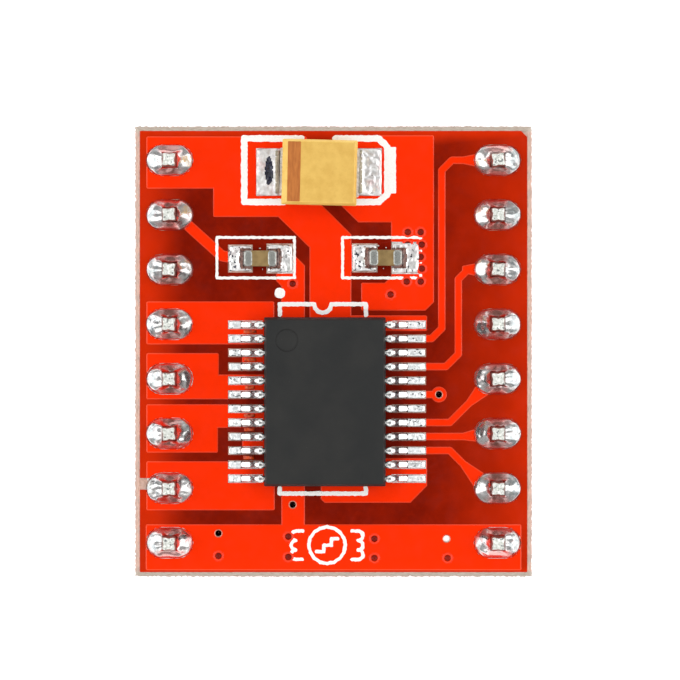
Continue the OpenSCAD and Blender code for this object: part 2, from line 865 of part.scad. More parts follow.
module adhesive_block() {
  start = PELLET_X + pellet.x / 2;
  translate([start, -adhesive.x / 2, (tantalum_h - adhesive.y) / 2])
    cube([tantalum_l / 2 - terminal_tab - start, adhesive.x, adhesive.y]);
}

module band_block(depth) {
  start = -tantalum_l / 2 + tantalum_lean + anode_chamfer;
  width = tantalum_w - 2 * (tantalum_lean + band_margin);
  translate([start, -width / 2, tantalum_h - depth]) cube([band_w, width, depth]);
}

module tantalum_case() {
  color("sandybrown") at_tantalum() difference() {
    two_way_taper(tantalum_l, tantalum_w, tantalum_h, tantalum_draft);
    // the bevel that marks the anode end
    translate([-tantalum_l / 2 + tantalum_lean, 0, tantalum_h - anode_chamfer]) rotate([0, -45, 0])
      translate([-tantalum_h, -tantalum_w, 0])
        cube([tantalum_h + anode_chamfer * sqrt(2), 2 * tantalum_w, tantalum_h]);
    for (side = [-1, 1]) terminal(side);
    translate([0, 0, -EPS]) for (side = [-1, 1])
      translate([side * (tantalum_l / 2 - terminal_foot / 2), 0, (terminal_t + EPS) / 2])
        cube([terminal_foot + EPS, terminal_w, terminal_t + EPS], center = true);
    pellet_block();
    anode_wire_rod();
    adhesive_block();
    band_block(ink_t);
  }
}

module tantalum_polarity_band() {
  color("saddlebrown") at_tantalum() band_block(ink_t);
}

module tantalum_anode_terminal() {
  color("silver") at_tantalum() terminal(-1);
}

module tantalum_cathode_terminal() {
  color("silver") at_tantalum() terminal(1);
}

module tantalum_pellet() {
  color("darkslategray") at_tantalum() pellet_block();
}

module tantalum_anode_wire() {
  color("gray") at_tantalum() anode_wire_rod();
}

module tantalum_silver_adhesive() {
  color("lightgray") at_tantalum() adhesive_block();
}

// A wedge of solder from the end of a pad up the end of a part, x away from the part
module end_wedge(from, to, w, rise) {
  translate([0, w / 2, z_copper_top]) rotate([90, 0, 0])
    linear_extrude(w)
      polygon([[from, 0], [to, 0], [to, pad_solder_edge], [from, 0] + pad_solder_knee, [from, rise]]);
}

module tantalum_solder() {
  color("silver") {
    for (k = [0, 1]) {
      side = k == 0 ? -1 : 1;
      pad = TANTALUM_PADS[k];
      outer = abs(pad[0] + side * pad[1] / 2 - TANTALUM_AT.x);
      difference() {
        union() {
          translate([pad[0], tantalum_pad_y, z_copper_top + solder_t / 2])
            cube([pad[1], tantalum_pad_w, solder_t], center = true);
          translate([TANTALUM_AT.x, tantalum_pad_y, 0]) mirror([k == 0 ? 1 : 0, 0, 0])
            end_wedge(tantalum_l / 2, outer, tantalum_pad_w, tantalum_climb);
        }
        at_tantalum() terminal_space(side);
      }
    }
  }
}

// The space that a terminal and the case above its foot take
module terminal_space(side) {
  reach = tantalum_l / 2 + terminal_t;
  translate([side < 0 ? -reach : 0, -tantalum_w / 2, 0]) cube([reach, tantalum_w, tantalum_h]);
}

// ---- Ceramic capacitors ----

module at_ceramic(at) {
  translate([at.x, at.y, z_ceramic]) children();
}

module ceramic_block() {
  translate([-ceramic_core_l / 2, -ceramic_core_w / 2, ceramic_wall])
    cube([ceramic_core_l, ceramic_core_w, ceramic_core_w]);
}

// Plates that reach the two ends in turn
module electrode_plates() {
  width = ceramic_core_w - 2 * electrode_inset;
  length = ceramic_core_l - electrode_gap;
  for (k = [1:electrodes]) {
    x = -ceramic_core_l / 2 + (k % 2 == 0 ? 0 : electrode_gap);
    z = ceramic_wall + ceramic_core_w * k / (electrodes + 1) - electrode_t / 2;
    translate([x, -width / 2, z]) cube([length, width, electrode_t]);
  }
}

module end_cap(side) {
  difference() {
    translate([side < 0 ? -ceramic_l / 2 : ceramic_l / 2 - ceramic_end, -ceramic_w / 2, 0])
      cube([ceramic_end, ceramic_w, ceramic_w]);
    ceramic_block();
  }
}

module ceramic_solder(at, pads) {
  difference() {
    for (k = [0, 1]) {
      side = k == 0 ? -1 : 1;
      pad = pads[k];
      outer = abs(pad[0] + side * pad[1] / 2 - at.x);
      translate([pad[0], at.y, z_copper_top + solder_t / 2])
        cube([pad[1], pad[2], solder_t], center = true);
      translate([at.x, at.y, 0]) mirror([k == 0 ? 1 : 0, 0, 0])
        end_wedge(ceramic_l / 2, outer, pad[2] - 2 * ceramic_pad_rim, ceramic_climb);
    }
    // the mask stays on over the vias beside the pads
    translate([0, 0, z_core_top]) linear_extrude(1) discs(COVERED_VIAS, via_cover_r);
  }
}

module ceramic_piece(at, pads, piece) {
  if (piece == "body") color("darkkhaki") at_ceramic(at) difference() {
    ceramic_block();
    electrode_plates();
  }
  if (piece == "left_end") color("silver") at_ceramic(at) end_cap(-1);
  if (piece == "right_end") color("silver") at_ceramic(at) end_cap(1);
  if (piece == "electrodes") color("gray") at_ceramic(at) electrode_plates();
  if (piece == "solder") color("silver") ceramic_solder(at, pads);
}

// ---- The assembly ----

laminate();
top_copper();
bottom_copper();
header_hole_plating();
via_plating();
top_solder_mask();
bottom_solder_mask();
top_silkscreen();
bottom_silkscreen();
for (s = SIDES) {
  header_strip(s);
  header_solder(s);
  driver_leads(s);
  driver_solder(s);
  for (i = [1:ROW_PINS]) header_pin(s, i);
}
driver_body();
color("gainsboro") die_pad_block();  // driver_die_pad
color("silver") die_attach_block();  // driver_die_attach
color("slategray") die_block();  // driver_die
color("gold") bond_wires();  // driver_bond_wires
tantalum_case();
tantalum_polarity_band();
tantalum_anode_terminal();
tantalum_cathode_terminal();
tantalum_pellet();
tantalum_anode_wire();
tantalum_silver_adhesive();
tantalum_solder();
for (p = ["body", "left_end", "right_end", "electrodes", "solder"]) {
  ceramic_piece(LOGIC_AT, LOGIC_PADS, p);
  ceramic_piece(MOTOR_AT, MOTOR_PADS, p);
}
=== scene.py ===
"""Looks of the stepper driver module: a mesh or a finish for every visible piece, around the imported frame.

Lengths in this script are millimetres, in the row's frame. put() turns them into metres.
"""

import math

import bmesh
import bpy
import numpy as np
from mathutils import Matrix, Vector, noise
from mathutils.bvhtree import BVHTree
from mathutils.geometry import delaunay_2d_cdt


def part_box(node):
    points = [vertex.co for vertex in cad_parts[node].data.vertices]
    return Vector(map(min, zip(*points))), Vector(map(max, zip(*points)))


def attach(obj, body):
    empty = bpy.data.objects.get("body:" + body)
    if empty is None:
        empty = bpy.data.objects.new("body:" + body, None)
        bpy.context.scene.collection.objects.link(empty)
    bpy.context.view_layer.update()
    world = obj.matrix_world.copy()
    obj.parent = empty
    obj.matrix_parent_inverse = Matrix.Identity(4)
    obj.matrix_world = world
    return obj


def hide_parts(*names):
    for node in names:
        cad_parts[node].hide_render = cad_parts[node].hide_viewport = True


# Without a seed, noise_vector() follows the clock
noise.seed_set(1)

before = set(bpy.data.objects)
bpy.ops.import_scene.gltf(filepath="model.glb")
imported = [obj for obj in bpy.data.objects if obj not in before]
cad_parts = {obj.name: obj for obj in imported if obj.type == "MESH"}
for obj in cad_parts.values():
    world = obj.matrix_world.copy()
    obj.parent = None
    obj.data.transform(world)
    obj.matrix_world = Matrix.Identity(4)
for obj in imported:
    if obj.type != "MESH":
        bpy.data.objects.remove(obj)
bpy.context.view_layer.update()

MM = 0.001
TAU = 2 * math.pi


def low(node):
    return [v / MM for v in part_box(node)[0]]


def high(node):
    return [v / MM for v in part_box(node)[1]]


def middle(node):
    return [(a + b) / 2 for a, b in zip(low(node), high(node))]


# Levels and places on the board, from the frame
CORE_TOP = high("laminate")[2]
CORE_BOTTOM = low("laminate")[2]
COPPER_TOP = high("top_copper")[2]
COPPER_BOTTOM = low("bottom_copper")[2]
MASK_TOP = high("top_solder_mask")[2]
MASK_BOTTOM = low("bottom_solder_mask")[2]
MASK_T = MASK_TOP - COPPER_TOP
INK_T = high("top_silkscreen")[2] - MASK_TOP
LEFT_EDGE = low("laminate")[0]
ROW_X = middle("right_pin_1")[0]
PIN_PITCH = middle("left_pin_1")[1] - middle("left_pin_2")[1]
PIN_HALF = (high("left_pin_1")[0] - low("left_pin_1")[0]) / 2
TOP_EDGE = high("laminate")[1]


# ---- Materials ----


class Finish:
    """A Principled material whose procedural nodes work in millimetres of the row's frame"""

    def __init__(self, name, roughness, metallic=0.0, specular=0.5):
        self.material = bpy.data.materials.new(name)
        self.material.use_nodes = True
        self.nodes = self.material.node_tree.nodes
        self.links = self.material.node_tree.links
        self.shader = self.nodes["Principled BSDF"]
        self.shader.inputs["Roughness"].default_value = roughness
        self.shader.inputs["Metallic"].default_value = metallic
        self.shader.inputs["Specular IOR Level"].default_value = specular
        place = self.new("TexCoord", {}).outputs["Object"]
        self.place = self.new("VectorMath", {0: place, "Scale": 1 / MM}, operation="SCALE").outputs[0]

    def new(self, kind, inputs, **settings):
        """A node with these settings, and a value or another node's output for each of these inputs"""
        node = self.nodes.new("ShaderNode" + kind)
        for name, value in settings.items():
            setattr(node, name, value)
        for name, value in inputs.items():
            self.feed(node.inputs[name], value)
        return node

    def stretched(self, x, y, z):
        """The place, with features made longer by these factors"""
        shorter = (1 / x, 1 / y, 1 / z)
        return self.new("VectorMath", {0: self.place, 1: shorter}, operation="MULTIPLY").outputs[0]

    def noise(self, size, detail=2.0, place=None, seed=0.0):
        """Noise from 0 to 1, with grains of about this size"""
        inputs = {"W": seed, "Scale": 1 / size, "Detail": detail, "Vector": place or self.place}
        return self.new("TexNoise", inputs, noise_dimensions="4D").outputs["Fac"]

    def cells(self, size, seed=0.0):
        """The distance from the nearest of scattered points, in units of their spacing"""
        inputs = {"W": seed, "Scale": 1 / size, "Vector": self.place}
        return self.new("TexVoronoi", inputs, voronoi_dimensions="4D").outputs["Distance"]

    def math(self, operation, a, b=0.0, clamp=False):
        return self.new("Math", {0: a, 1: b}, operation=operation, use_clamp=clamp).outputs[0]

    def between(self, value, start, end, first=0.0, last=1.0, kind="SMOOTHSTEP"):
        """value's way from start to end, as a number from first to last"""
        inputs = {"From Min": start, "From Max": end, "To Min": first, "To Max": last, "Value": value}
        return self.new("MapRange", inputs, interpolation_type=kind).outputs[0]

    def mix(self, factor, a, b):
        """Colour a where factor is 0, colour b where it is 1"""
        a_socket, b_socket, result = 6, 7, 2
        inputs = {"Factor": factor, a_socket: a, b_socket: b}
        return self.new("Mix", inputs, data_type="RGBA").outputs[result]

    def blend(self, value, start, end, a, b, most=1.0):
        """Colour a up to start, going over to this much of colour b at end"""
        return self.mix(self.between(value, start, end, 0, most), a, b)

    def feed(self, socket, value):
        if isinstance(value, bpy.types.NodeSocket):
            self.links.new(value, socket)
        elif isinstance(value, tuple) and len(value) == 3 and len(socket.default_value) == 4:
            socket.default_value = (*value, 1)
        else:
            socket.default_value = value

    def axis(self, name):
        """The place along X, Y or Z"""
        return self.new("SeparateXYZ", {0: self.place}).outputs[name]

    def colour(self, value):
        self.feed(self.shader.inputs["Base Color"], value)

    def rough(self, value):
        self.feed(self.shader.inputs["Roughness"], value)

    def bump(self, *layers):
        """Relief from pairs of a 0 to 1 height and its depth in millimetres"""
        below = {}
        for height, depth in layers:
            node = self.new("Bump", {"Distance": depth * MM, "Height": height, **below})
            below = {"Normal": node.outputs[0]}
        self.feed(self.shader.inputs["Normal"], node.outputs[0])


def srgb(r, g, b):
    """A screen colour, given from 0 to 255, as linear light"""
    return tuple((v / 255 / 12.92) if v < 11 else ((v / 255 + 0.055) / 1.055) ** 2.4 for v in (r, g, b))


def solder_mask(name, bright, dark):
    """Glossy red mask between two screen colours, brightened towards the snapped edges by painted light"""
    f = Finish(name, 0.2, specular=0.2)
    bright, dark = srgb(*bright), srgb(*dark)
    x, y = f.axis("X"), f.axis("Y")
    # Painted light: the colour goes from dark to bright towards the left and right edges and the ends
    left = f.between(x, LEFT_EDGE + 0.5, LEFT_EDGE + 2.7, 0.88, 0)
    right = f.between(x, -LEFT_EDGE - 4.9, -LEFT_EDGE, 0, 0.78, kind="LINEAR")
    ends = f.between(f.math("ABSOLUTE", y), TOP_EDGE - 1.1, TOP_EDGE - 0.2)
    painted_edge_light = f.math("MAXIMUM", f.math("MAXIMUM", left, right), ends)
    patch = f.noise(1.6, 3)
    # The painted edge light and random patches of tone pick between the dark and the bright colour
    edge_light_and_tone = f.math("ADD", painted_edge_light, f.between(patch, 0.3, 0.75, -0.06, 0.14), clamp=True)
    base = f.mix(edge_light_and_tone, dark, bright)
    base = f.blend(f.noise(0.25, 4, seed=3), 0.35, 0.8, base, tuple(v * 0.7 for v in bright), 0.14)
    dust = f.between(f.cells(0.9, seed=1.5), 0.03, 0.055, 0.55, 0)
    f.colour(f.mix(dust, base, srgb(255, 150, 120)))
    f.rough(f.between(f.noise(0.6, 3, seed=5), 0.3, 0.8, 0.12, 0.24))
    f.bump((f.noise(0.7, 2, seed=7), 0.004), (f.noise(0.06, 2, seed=8), 0.0006))
    return f.material


def white_ink():
    """Screen-printed ink, thick enough to hide the mask, with a grainy surface"""
    f = Finish("white_ink", 0.6, specular=0.3)
    grain = f.noise(0.05, 3)
    f.colour(f.blend(grain, 0.25, 0.75, srgb(255, 255, 252), srgb(240, 232, 226), 0.5))
    f.bump((grain, 0.006), (f.noise(0.3, 2, seed=2), 0.01))
    return f.material


def snapped_laminate():
    """Glass-epoxy: pinkish grey where it was snapped, warmer beneath, with fibres along the edge"""
    f = Finish("snapped_laminate", 0.75, specular=0.3)
    fibre = f.noise(0.06, 4, f.stretched(3.5, 3.5, 0.8))
    patch = f.noise(0.45, 3, seed=4)
    pale = f.blend(patch, 0.35, 0.7, srgb(222, 182, 164), srgb(196, 172, 160))
    ends = f.between(f.math("ABSOLUTE", f.axis("Y")), TOP_EDGE - 0.35, TOP_EDGE - 0.2, 0, 0.8)
    pale = f.mix(ends, pale, srgb(192, 186, 172))
    f.colour(f.blend(fibre, 0.4, 0.75, pale, srgb(160, 122, 102), 0.7))
    f.bump((fibre, 0.03), (patch, 0.05))
    return f.material


def bright_solder(name, rough_by=0.0, spots=0.0):
    """Reflowed solder: bright and a little uneven, with some small dark spots of flux"""
    f = Finish(name, 0.2, metallic=1.0)
    frost = f.noise(0.28, 3)
    base = f.blend(frost, 0.38, 0.68, srgb(242, 241, 240), srgb(210, 207, 206))
    tint = f.noise(0.5, 2, seed=12)
    base = f.blend(tint, 0.52, 0.75, base, srgb(196, 200, 190), 0.6)
    base = f.mix(f.between(tint, 0.28, 0.45, 0.5, 0), base, srgb(222, 182, 180))
    if spots:
        flecks = f.between(f.cells(0.3, seed=2.2), 0.1, 0.17, spots, 0)
        crowd = f.between(f.noise(1.1, 2, seed=9), 0.46, 0.52)
        base = f.mix(f.math("MULTIPLY", flecks, crowd), base, srgb(52, 46, 52))
    f.base = base
    f.colour(base)
    f.rough(f.between(frost, 0.35, 0.8, 0.18 + rough_by, 0.3 + rough_by))
    f.bump((f.noise(0.34, 2, seed=6), 0.011), (f.noise(0.09, 2, seed=7), 0.001))
    return f


def pin_solder():
    """The header joints' solder: reddish beside each pin and dark round it, both painted reflections of the
    red board, and mottled outside it
    """
    f = bright_solder("pin_solder", spots=0.9)
    out = f.math("SUBTRACT", f.math("ABSOLUTE", f.axis("X")), ROW_X)
    u = f.math("ABSOLUTE", out)
    outer = f.between(out, 0.42, 0.6)
    cool = f.math("MULTIPLY", outer, f.between(f.noise(0.24, 3, seed=31), 0.46, 0.58, 0, 0.55))
    line = f.math("ABSOLUTE", f.math("SUBTRACT", f.noise(0.26, 2, seed=33), 0.5))
    lines = f.between(line, 0.01, 0.026, 0.75, 0)
    squiggle = f.math("MULTIPLY", lines, f.between(f.noise(0.9, 2, seed=35), 0.52, 0.6))
    # Painted reflection: pinkish red on the steep solder beside the pin's sides
    turn = f.math("FRACT", f.math("DIVIDE", f.axis("Y"), PIN_PITCH))
    v = f.math("MULTIPLY", f.math("ABSOLUTE", f.math("SUBTRACT", turn, 0.5)), PIN_PITCH)
    wavy = f.between(f.noise(0.35, 2, seed=21), 0.2, 0.8, -0.14, 0.14)
    along = f.between(f.math("ADD", u, wavy), 0.3, 0.75, 1, 0)
    beside = f.math("MULTIPLY", f.between(v, PIN_HALF - 0.06, PIN_HALF + 0.14), along)
    base = f.mix(cool, f.base, srgb(158, 172, 176))
    base = f.mix(f.math("MULTIPLY", squiggle, outer), base, srgb(40, 36, 44))
    base = f.mix(f.math("MULTIPLY", beside, 0.8), base, srgb(226, 158, 152))
    # Painted reflection: a dark-red ring on the steep solder right round the pin
    ring = f.between(f.math("MAXIMUM", u, v), PIN_HALF + 0.01, PIN_HALF + 0.07, 0.85, 0)
    f.colour(f.mix(ring, base, srgb(84, 40, 38)))
    return f.material


def scratched_tin():
    """Tin on the driver's pads: bright, with short dark scratches and pits"""
    f = Finish("scratched_tin", 0.3, metallic=1.0)
    mottle = f.noise(0.1, 4)
    base = f.blend(mottle, 0.4, 0.7, srgb(252, 254, 254), srgb(222, 228, 230))
    scratch = f.between(f.noise(0.1, 3, f.stretched(2.2, 1, 1), seed=3), 0.6, 0.65, 0, 0.95)
    f.colour(f.mix(scratch, base, srgb(58, 60, 66)))
    f.rough(f.between(mottle, 0.3, 0.8, 0.26, 0.45))
    f.bump((f.noise(0.14, 3, seed=6), 0.012))
    return f.material


def lead_tin():
    """Plated leads, smooth enough to show small highlights"""
    f = Finish("lead_tin", 0.18, metallic=1.0)
    mottle = f.noise(0.08, 4, seed=2)
    f.colour(f.blend(mottle, 0.4, 0.72, srgb(252, 252, 250), srgb(198, 200, 200)))
    f.rough(f.between(mottle, 0.3, 0.8, 0.14, 0.3))
    f.bump((f.noise(0.16, 2, seed=6), 0.006))
    return f.material


def flux(name, light, dark):
    """A glossy, uneven film: hardened flux, and also the dark patches of painted shade and painted
    reflection on the joints
    """
    f = Finish(name, 0.15, specular=0.5)
    cloud = f.noise(0.14, 3)
    f.colour(f.blend(cloud, 0.35, 0.7, srgb(*light), srgb(*dark)))
    f.rough(f.between(f.noise(0.2, 2, seed=2), 0.3, 0.7, 0.1, 0.3))
    f.bump((f.noise(0.12, 2, seed=3), 0.01))
    return f.material


def dull_tin():
    """Levelled or plated tin on copper and terminals, with fine mottling"""
    f = Finish("dull_tin", 0.38, metallic=1.0)
    mottle = f.noise(0.09, 5)
    f.colour(f.blend(mottle, 0.35, 0.72, srgb(255, 255, 252), srgb(216, 216, 210)))
    f.rough(f.between(f.noise(0.2, 3, seed=3), 0.3, 0.8, 0.28, 0.5))
    f.bump((mottle, 0.008), (f.noise(0.3, 2, seed=4), 0.01))
    return f.material


def sheared_tin():
    """The pins' cut tips: frosted, with scratches and small dark pits"""
    f = Finish("sheared_tin", 0.45, metallic=1.0)
    mottle = f.noise(0.1, 4, seed=1)
    base = f.blend(mottle, 0.35, 0.7, srgb(236, 237, 232), srgb(196, 200, 190))
    pits = f.between(f.noise(0.12, 3, seed=5), 0.58, 0.64, 0, 0.85)
    f.colour(f.mix(pits, base, srgb(84, 88, 92)))
    f.rough(f.between(mottle, 0.3, 0.8, 0.35, 0.6))
    f.bump((mottle, 0.03), (f.noise(0.04, 2, seed=2), 0.006))
    return f.material


def moulding_compound():
    """The driver's matte black epoxy, with a fine grain and faint pale specks"""
    f = Finish("moulding_compound", 0.55, specular=0.2)
    grain = f.noise(0.035, 3)
    cloud = f.noise(1.4, 3, seed=5)
    base = f.blend(cloud, 0.3, 0.7, srgb(38, 39, 39), srgb(44, 44, 43))
    speck = f.between(f.cells(0.16, seed=0.7), 0.05, 0.12, 0.5, 0)
    f.colour(f.mix(speck, base, srgb(72, 72, 70)))
    f.rough(f.between(grain, 0.3, 0.7, 0.48, 0.62))
    f.bump((grain, 0.005), (f.noise(0.12, 3, seed=8), 0.004))
    return f.material


def tantalum_epoxy(name, light, dark):
    """The tantalum capacitor's yellow moulding, satin and slightly mottled"""
    f = Finish(name, 0.42, specular=0.35)
    cloud = f.noise(0.5, 3)
    base = f.blend(cloud, 0.3, 0.75, srgb(*light), srgb(*dark))
    f.colour(f.blend(f.noise(0.05, 3, seed=2), 0.55, 0.8, base, srgb(190, 140, 60), 0.4))
    f.bump((f.noise(0.04, 3, seed=3), 0.003), (cloud, 0.004))
    return f.material


def band_ink():
    """The polarity band's brown ink, printed thin enough for the moulding to tint it"""
    f = Finish("band_ink", 0.5, specular=0.3)
    streak = f.noise(0.12, 4, f.stretched(1, 5, 1))
    f.colour(f.blend(streak, 0.3, 0.75, srgb(196, 118, 52), srgb(172, 97, 40)))
    f.bump((streak, 0.003))
    return f.material


def capacitor_ceramic():
    """Fired tan ceramic with a soft sheen"""
    f = Finish("capacitor_ceramic", 0.35, specular=0.5)
    cloud = f.noise(0.3, 3)
    base = f.blend(cloud, 0.3, 0.75, srgb(150, 124, 76), srgb(126, 101, 58))
    f.colour(f.blend(f.noise(0.04, 2, seed=2), 0.6, 0.8, base, srgb(110, 86, 52), 0.35))
    f.bump((f.noise(0.05, 3, seed=3), 0.002))
    return f.material


def end_metal():
    """Plated capacitor ends: grey tin, rougher than solder"""
    f = Finish("end_metal", 0.35, metallic=0.9)
    mottle = f.noise(0.07, 4)
    f.colour(f.blend(mottle, 0.3, 0.75, srgb(182, 184, 178), srgb(142, 144, 140)))
    f.rough(f.between(mottle, 0.3, 0.8, 0.26, 0.45))
    f.bump((mottle, 0.006))
    return f.material


def strip_plastic():
    """The headers' black moulded plastic, with a fine satin grain"""
    f = Finish("strip_plastic", 0.45, specular=0.45)
    grain = f.noise(0.08, 4)
    f.colour(f.blend(grain, 0.3, 0.75, srgb(30, 30, 32), srgb(46, 46, 48)))
    f.rough(f.between(f.noise(0.8, 3, seed=2), 0.3, 0.7, 0.36, 0.55))
    f.bump((grain, 0.006), (f.noise(0.9, 2, seed=4), 0.02))
    return f.material


def plain(name, light, dark, roughness, metallic=1.0):
    """A lightly mottled finish, of metal unless metallic is 0. light and dark are screen colours."""
    f = Finish(name, roughness, metallic)
    mottle = f.noise(0.1 if metallic else 0.08, 3)
    f.colour(f.blend(mottle, 0.3, 0.75, srgb(*light), srgb(*dark)))
    f.bump((mottle, 0.002))
    return f.material


def pale_floor():
    f = Finish("pale_floor", 0.8, specular=0.1)
    f.colour(f.mix(f.noise(30, 2), (0.93, 0.93, 0.93), (0.9, 0.9, 0.9)))
    f.shader.inputs["Emission Color"].default_value = (1, 1, 1, 1)
    f.shader.inputs["Emission Strength"].default_value = 0.45
    return f.material


# ---- Mesh helpers ----


def put(name, solid, material, replaces=(), smooth_below=35, face_slots=None):
    """Makes a piece of the object from a solid in millimetres, and puts it on the frame"""
    mesh = bpy.data.meshes.new(name)
    verts = [tuple(c * MM for c in v) for v in solid.verts]
    mesh.from_pydata(verts, [], [tuple(map(int, f)) for f in solid.faces])
    for m in material if isinstance(material, list) else [material]:
        mesh.materials.append(m)
    if face_slots is not None:
        mesh.polygons.foreach_set("material_index", face_slots)
    bm = bmesh.new()
    bm.from_mesh(mesh)
    bmesh.ops.remove_doubles(bm, verts=bm.verts, dist=1e-8)
    bmesh.ops.recalc_face_normals(bm, faces=bm.faces)
    bm.to_mesh(mesh)
    bm.free()
    if smooth_below:
        mesh.shade_smooth()
        mesh.set_sharp_from_angle(angle=math.radians(smooth_below))
    piece = bpy.data.objects.new(name, mesh)
    bpy.context.scene.collection.objects.link(piece)
    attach(piece, "root")
    if replaces:
        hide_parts(*replaces)
    return piece


def ring(cx, cy, r, count):
    return [(cx + r * math.cos(i * TAU / count), cy + r * math.sin(i * TAU / count)) for i in range(count)]


def closed(points):
    """The edges from each point to the next, and from the last back to the first"""
    return list(zip(points, points[1:] + points[:1]))


def quads(n, count, joined=False):
    """The faces between this many loops of n points. When joined, the last leads back to the first."""
    faces = []
    for k in range(count if joined else count - 1):
        a, b = k * n, (k + 1) % count * n
        faces.extend([[a + i, a + (i + 1) % n, b + (i + 1) % n, b + i] for i in range(n)])
    return faces


class Solid:
    """Vertices and faces gathered from several closed shells"""

    def __init__(self, verts=(), faces=()):
        self.verts = list(verts)
        self.faces = list(faces)

    def centres(self):
        """Where the middle of each face is, seen from above"""
        return [[sum(self.verts[i][k] for i in f) / len(f) for k in (0, 1)] for f in self.faces]

    def add(self, verts, faces):
        start = len(self.verts)
        self.verts.extend(verts)
        self.faces.extend([[i + start for i in f] for f in faces])

    def loft(self, loops, caps=True):
        """A closed skin through equal loops of points. Without caps, the last loop joins the first."""
        n, count = len(loops[0]), len(loops)
        faces = quads(n, count, joined=not caps)
        if caps:
            faces.append(list(range(n))[::-1])
            faces.append([(count - 1) * n + i for i in range(n)])
        self.add([p for loop in loops for p in loop], faces)


def wobble(x, y, size, amount, seed=0.0):
    """A small smooth shift that depends on the place"""
    n = noise.noise_vector(Vector((x / size, y / size, seed)))
    return amount * n.x, amount * n.y


def box_loop(x0, x1, y0, y1, r, steps=4):
    """A rectangle with round corners, anticlockwise"""
    corners = ((x1 - r, y1 - r, 0), (x0 + r, y1 - r, 1), (x0 + r, y0 + r, 2), (x1 - r, y0 + r, 3))
    loop = []
    for cx, cy, quarter in corners:
        for s in range(steps + 1):
            a = (quarter + s / steps) * TAU / 4
            loop.append((cx + r * math.cos(a), cy + r * math.sin(a)))
    return loop


class Region:
    """The area that some flat faces of a CAD node cover, seen from above"""

    def __init__(self, node, levels, facing):
        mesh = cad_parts[node].data
        co = np.zeros(len(mesh.vertices) * 3, np.float32)
        mesh.vertices.foreach_get("co", co)
        co = co.reshape(-1, 3) / MM
        mesh.calc_loop_triangles()
        tris = np.array([t.vertices[:] for t in mesh.loop_triangles])
        normals = np.array([t.normal[2] for t in mesh.loop_triangles])
        flat = normals * facing > 0.9
        at_level = np.zeros(len(tris), bool)
        for level in levels:
            at_level |= np.abs(co[tris][:, :, 2] - level).max(axis=1) < 1e-3
        tris = tris[flat & at_level]
        keys = {}
        self.points = []
        self.triangles = []
        for t in tris:
            corners = []
            for i in t:
                key = (round(float(co[i][0]), 4), round(float(co[i][1]), 4))
                if key not in keys:
                    keys[key] = len(self.points)
                    self.points.append(key)
                corners.append(keys[key])
            if len(set(corners)) == 3:
                self.triangles.append(corners)
        self.tree = BVHTree.FromPolygons([(x, y, 0) for x, y in self.points], self.triangles)

    def holds(self, x, y):
        return self.tree.ray_cast((x, y, 1), (0, 0, -1))[0] is not None

    def distance(self, x, y):
        """0 inside the area, and the distance from it outside"""
        return 0 if self.holds(x, y) else self.tree.find_nearest((x, y, 0))[3]

    def small_holes(self, largest):
        """The centre and radius of each closed loop of edges that is no wider than this"""
        after = {}
        for a, b in self.edges():
            after.setdefault(a, []).append(b)
            after.setdefault(b, []).append(a)
        found, seen = [], set()
        for start in after:
            if start in seen:
                continue
            loop, waiting = [], [start]
            while waiting:
                p = waiting.pop()
                if p not in seen:
                    seen.add(p)
                    loop.append(p)
                    waiting.extend(after[p])
            spans = [(min(p[k] for p in loop), max(p[k] for p in loop)) for k in (0, 1)]
            if max(b - a for a, b in spans) < largest:
                found.append((*((a + b) / 2 for a, b in spans), (spans[0][1] - spans[0][0]) / 2))
        return found

    def edges(self):
        """The edges round the area, as pairs of points"""
        used = {}
        for t in self.triangles:
            for a, b in closed(t):
                used.setdefault(frozenset((a, b)), []).append((a, b))
        return [(self.points[e[0][0]], self.points[e[0][1]]) for e in used.values() if len(e) == 1]


def split_edges(edges, longest, shift=None):
    """The edges in steps no longer than this, with each point shifted"""
    shift = shift or (lambda x, y: (0, 0))
    out = []
    for (ax, ay), (bx, by) in edges:
        count = max(1, math.ceil(math.hypot(bx - ax, by - ay) / longest))
        steps = [(ax + (bx - ax) * k / count, ay + (by - ay) * k / count) for k in range(count + 1)]
        moved = [(x + dx, y + dy) for (x, y), (dx, dy) in zip(steps, [shift(*p) for p in steps])]
        out.extend(zip(moved[:-1], moved[1:]))
    return out


def fill(edges, extra=()):
    """Points and triangles of a flat mesh that has all these edges as creases"""
    index = {}
    points = []

    def number(p):
        key = (round(p[0], 5), round(p[1], 5))
        if key not in index:
            index[key] = len(points)
            points.append(Vector(key))
        return index[key]

    lines = [(number(a), number(b)) for a, b in edges]
    lines = [e for e in lines if e[0] != e[1]]
    for p in extra:
        number(p)
    found = delaunay_2d_cdt(points, lines, [], 0, 1e-5)
    return [tuple(p) for p in found[0]], [tuple(t) for t in found[2]]


def centres_of(points, triangles):
    p = np.array(points)
    return p[np.array(triangles)].mean(axis=1)


def inside(points, triangles, edges):
    """The triangles inside these edges: an odd number of edges lie to the right of their centres"""
    a = np.array([e[0] for e in edges])
    b = np.array([e[1] for e in edges])
    c = centres_of(points, triangles)
    odd = np.zeros(len(c), bool)
    batch = 2000
    for start in range(0, len(c), batch):
        x = c[start : start + batch, 0:1]
        y = c[start : start + batch, 1:2]
        crosses = (a[:, 1] > y) != (b[:, 1] > y)
        with np.errstate(divide="ignore", invalid="ignore"):
            at = a[:, 0] + (y - a[:, 1]) * (b[:, 0] - a[:, 0]) / (b[:, 1] - a[:, 1])
        odd[start : start + batch] = (crosses & (x < at)).sum(axis=1) % 2 == 1
    return [t for t, keep in zip(triangles, odd) if keep]


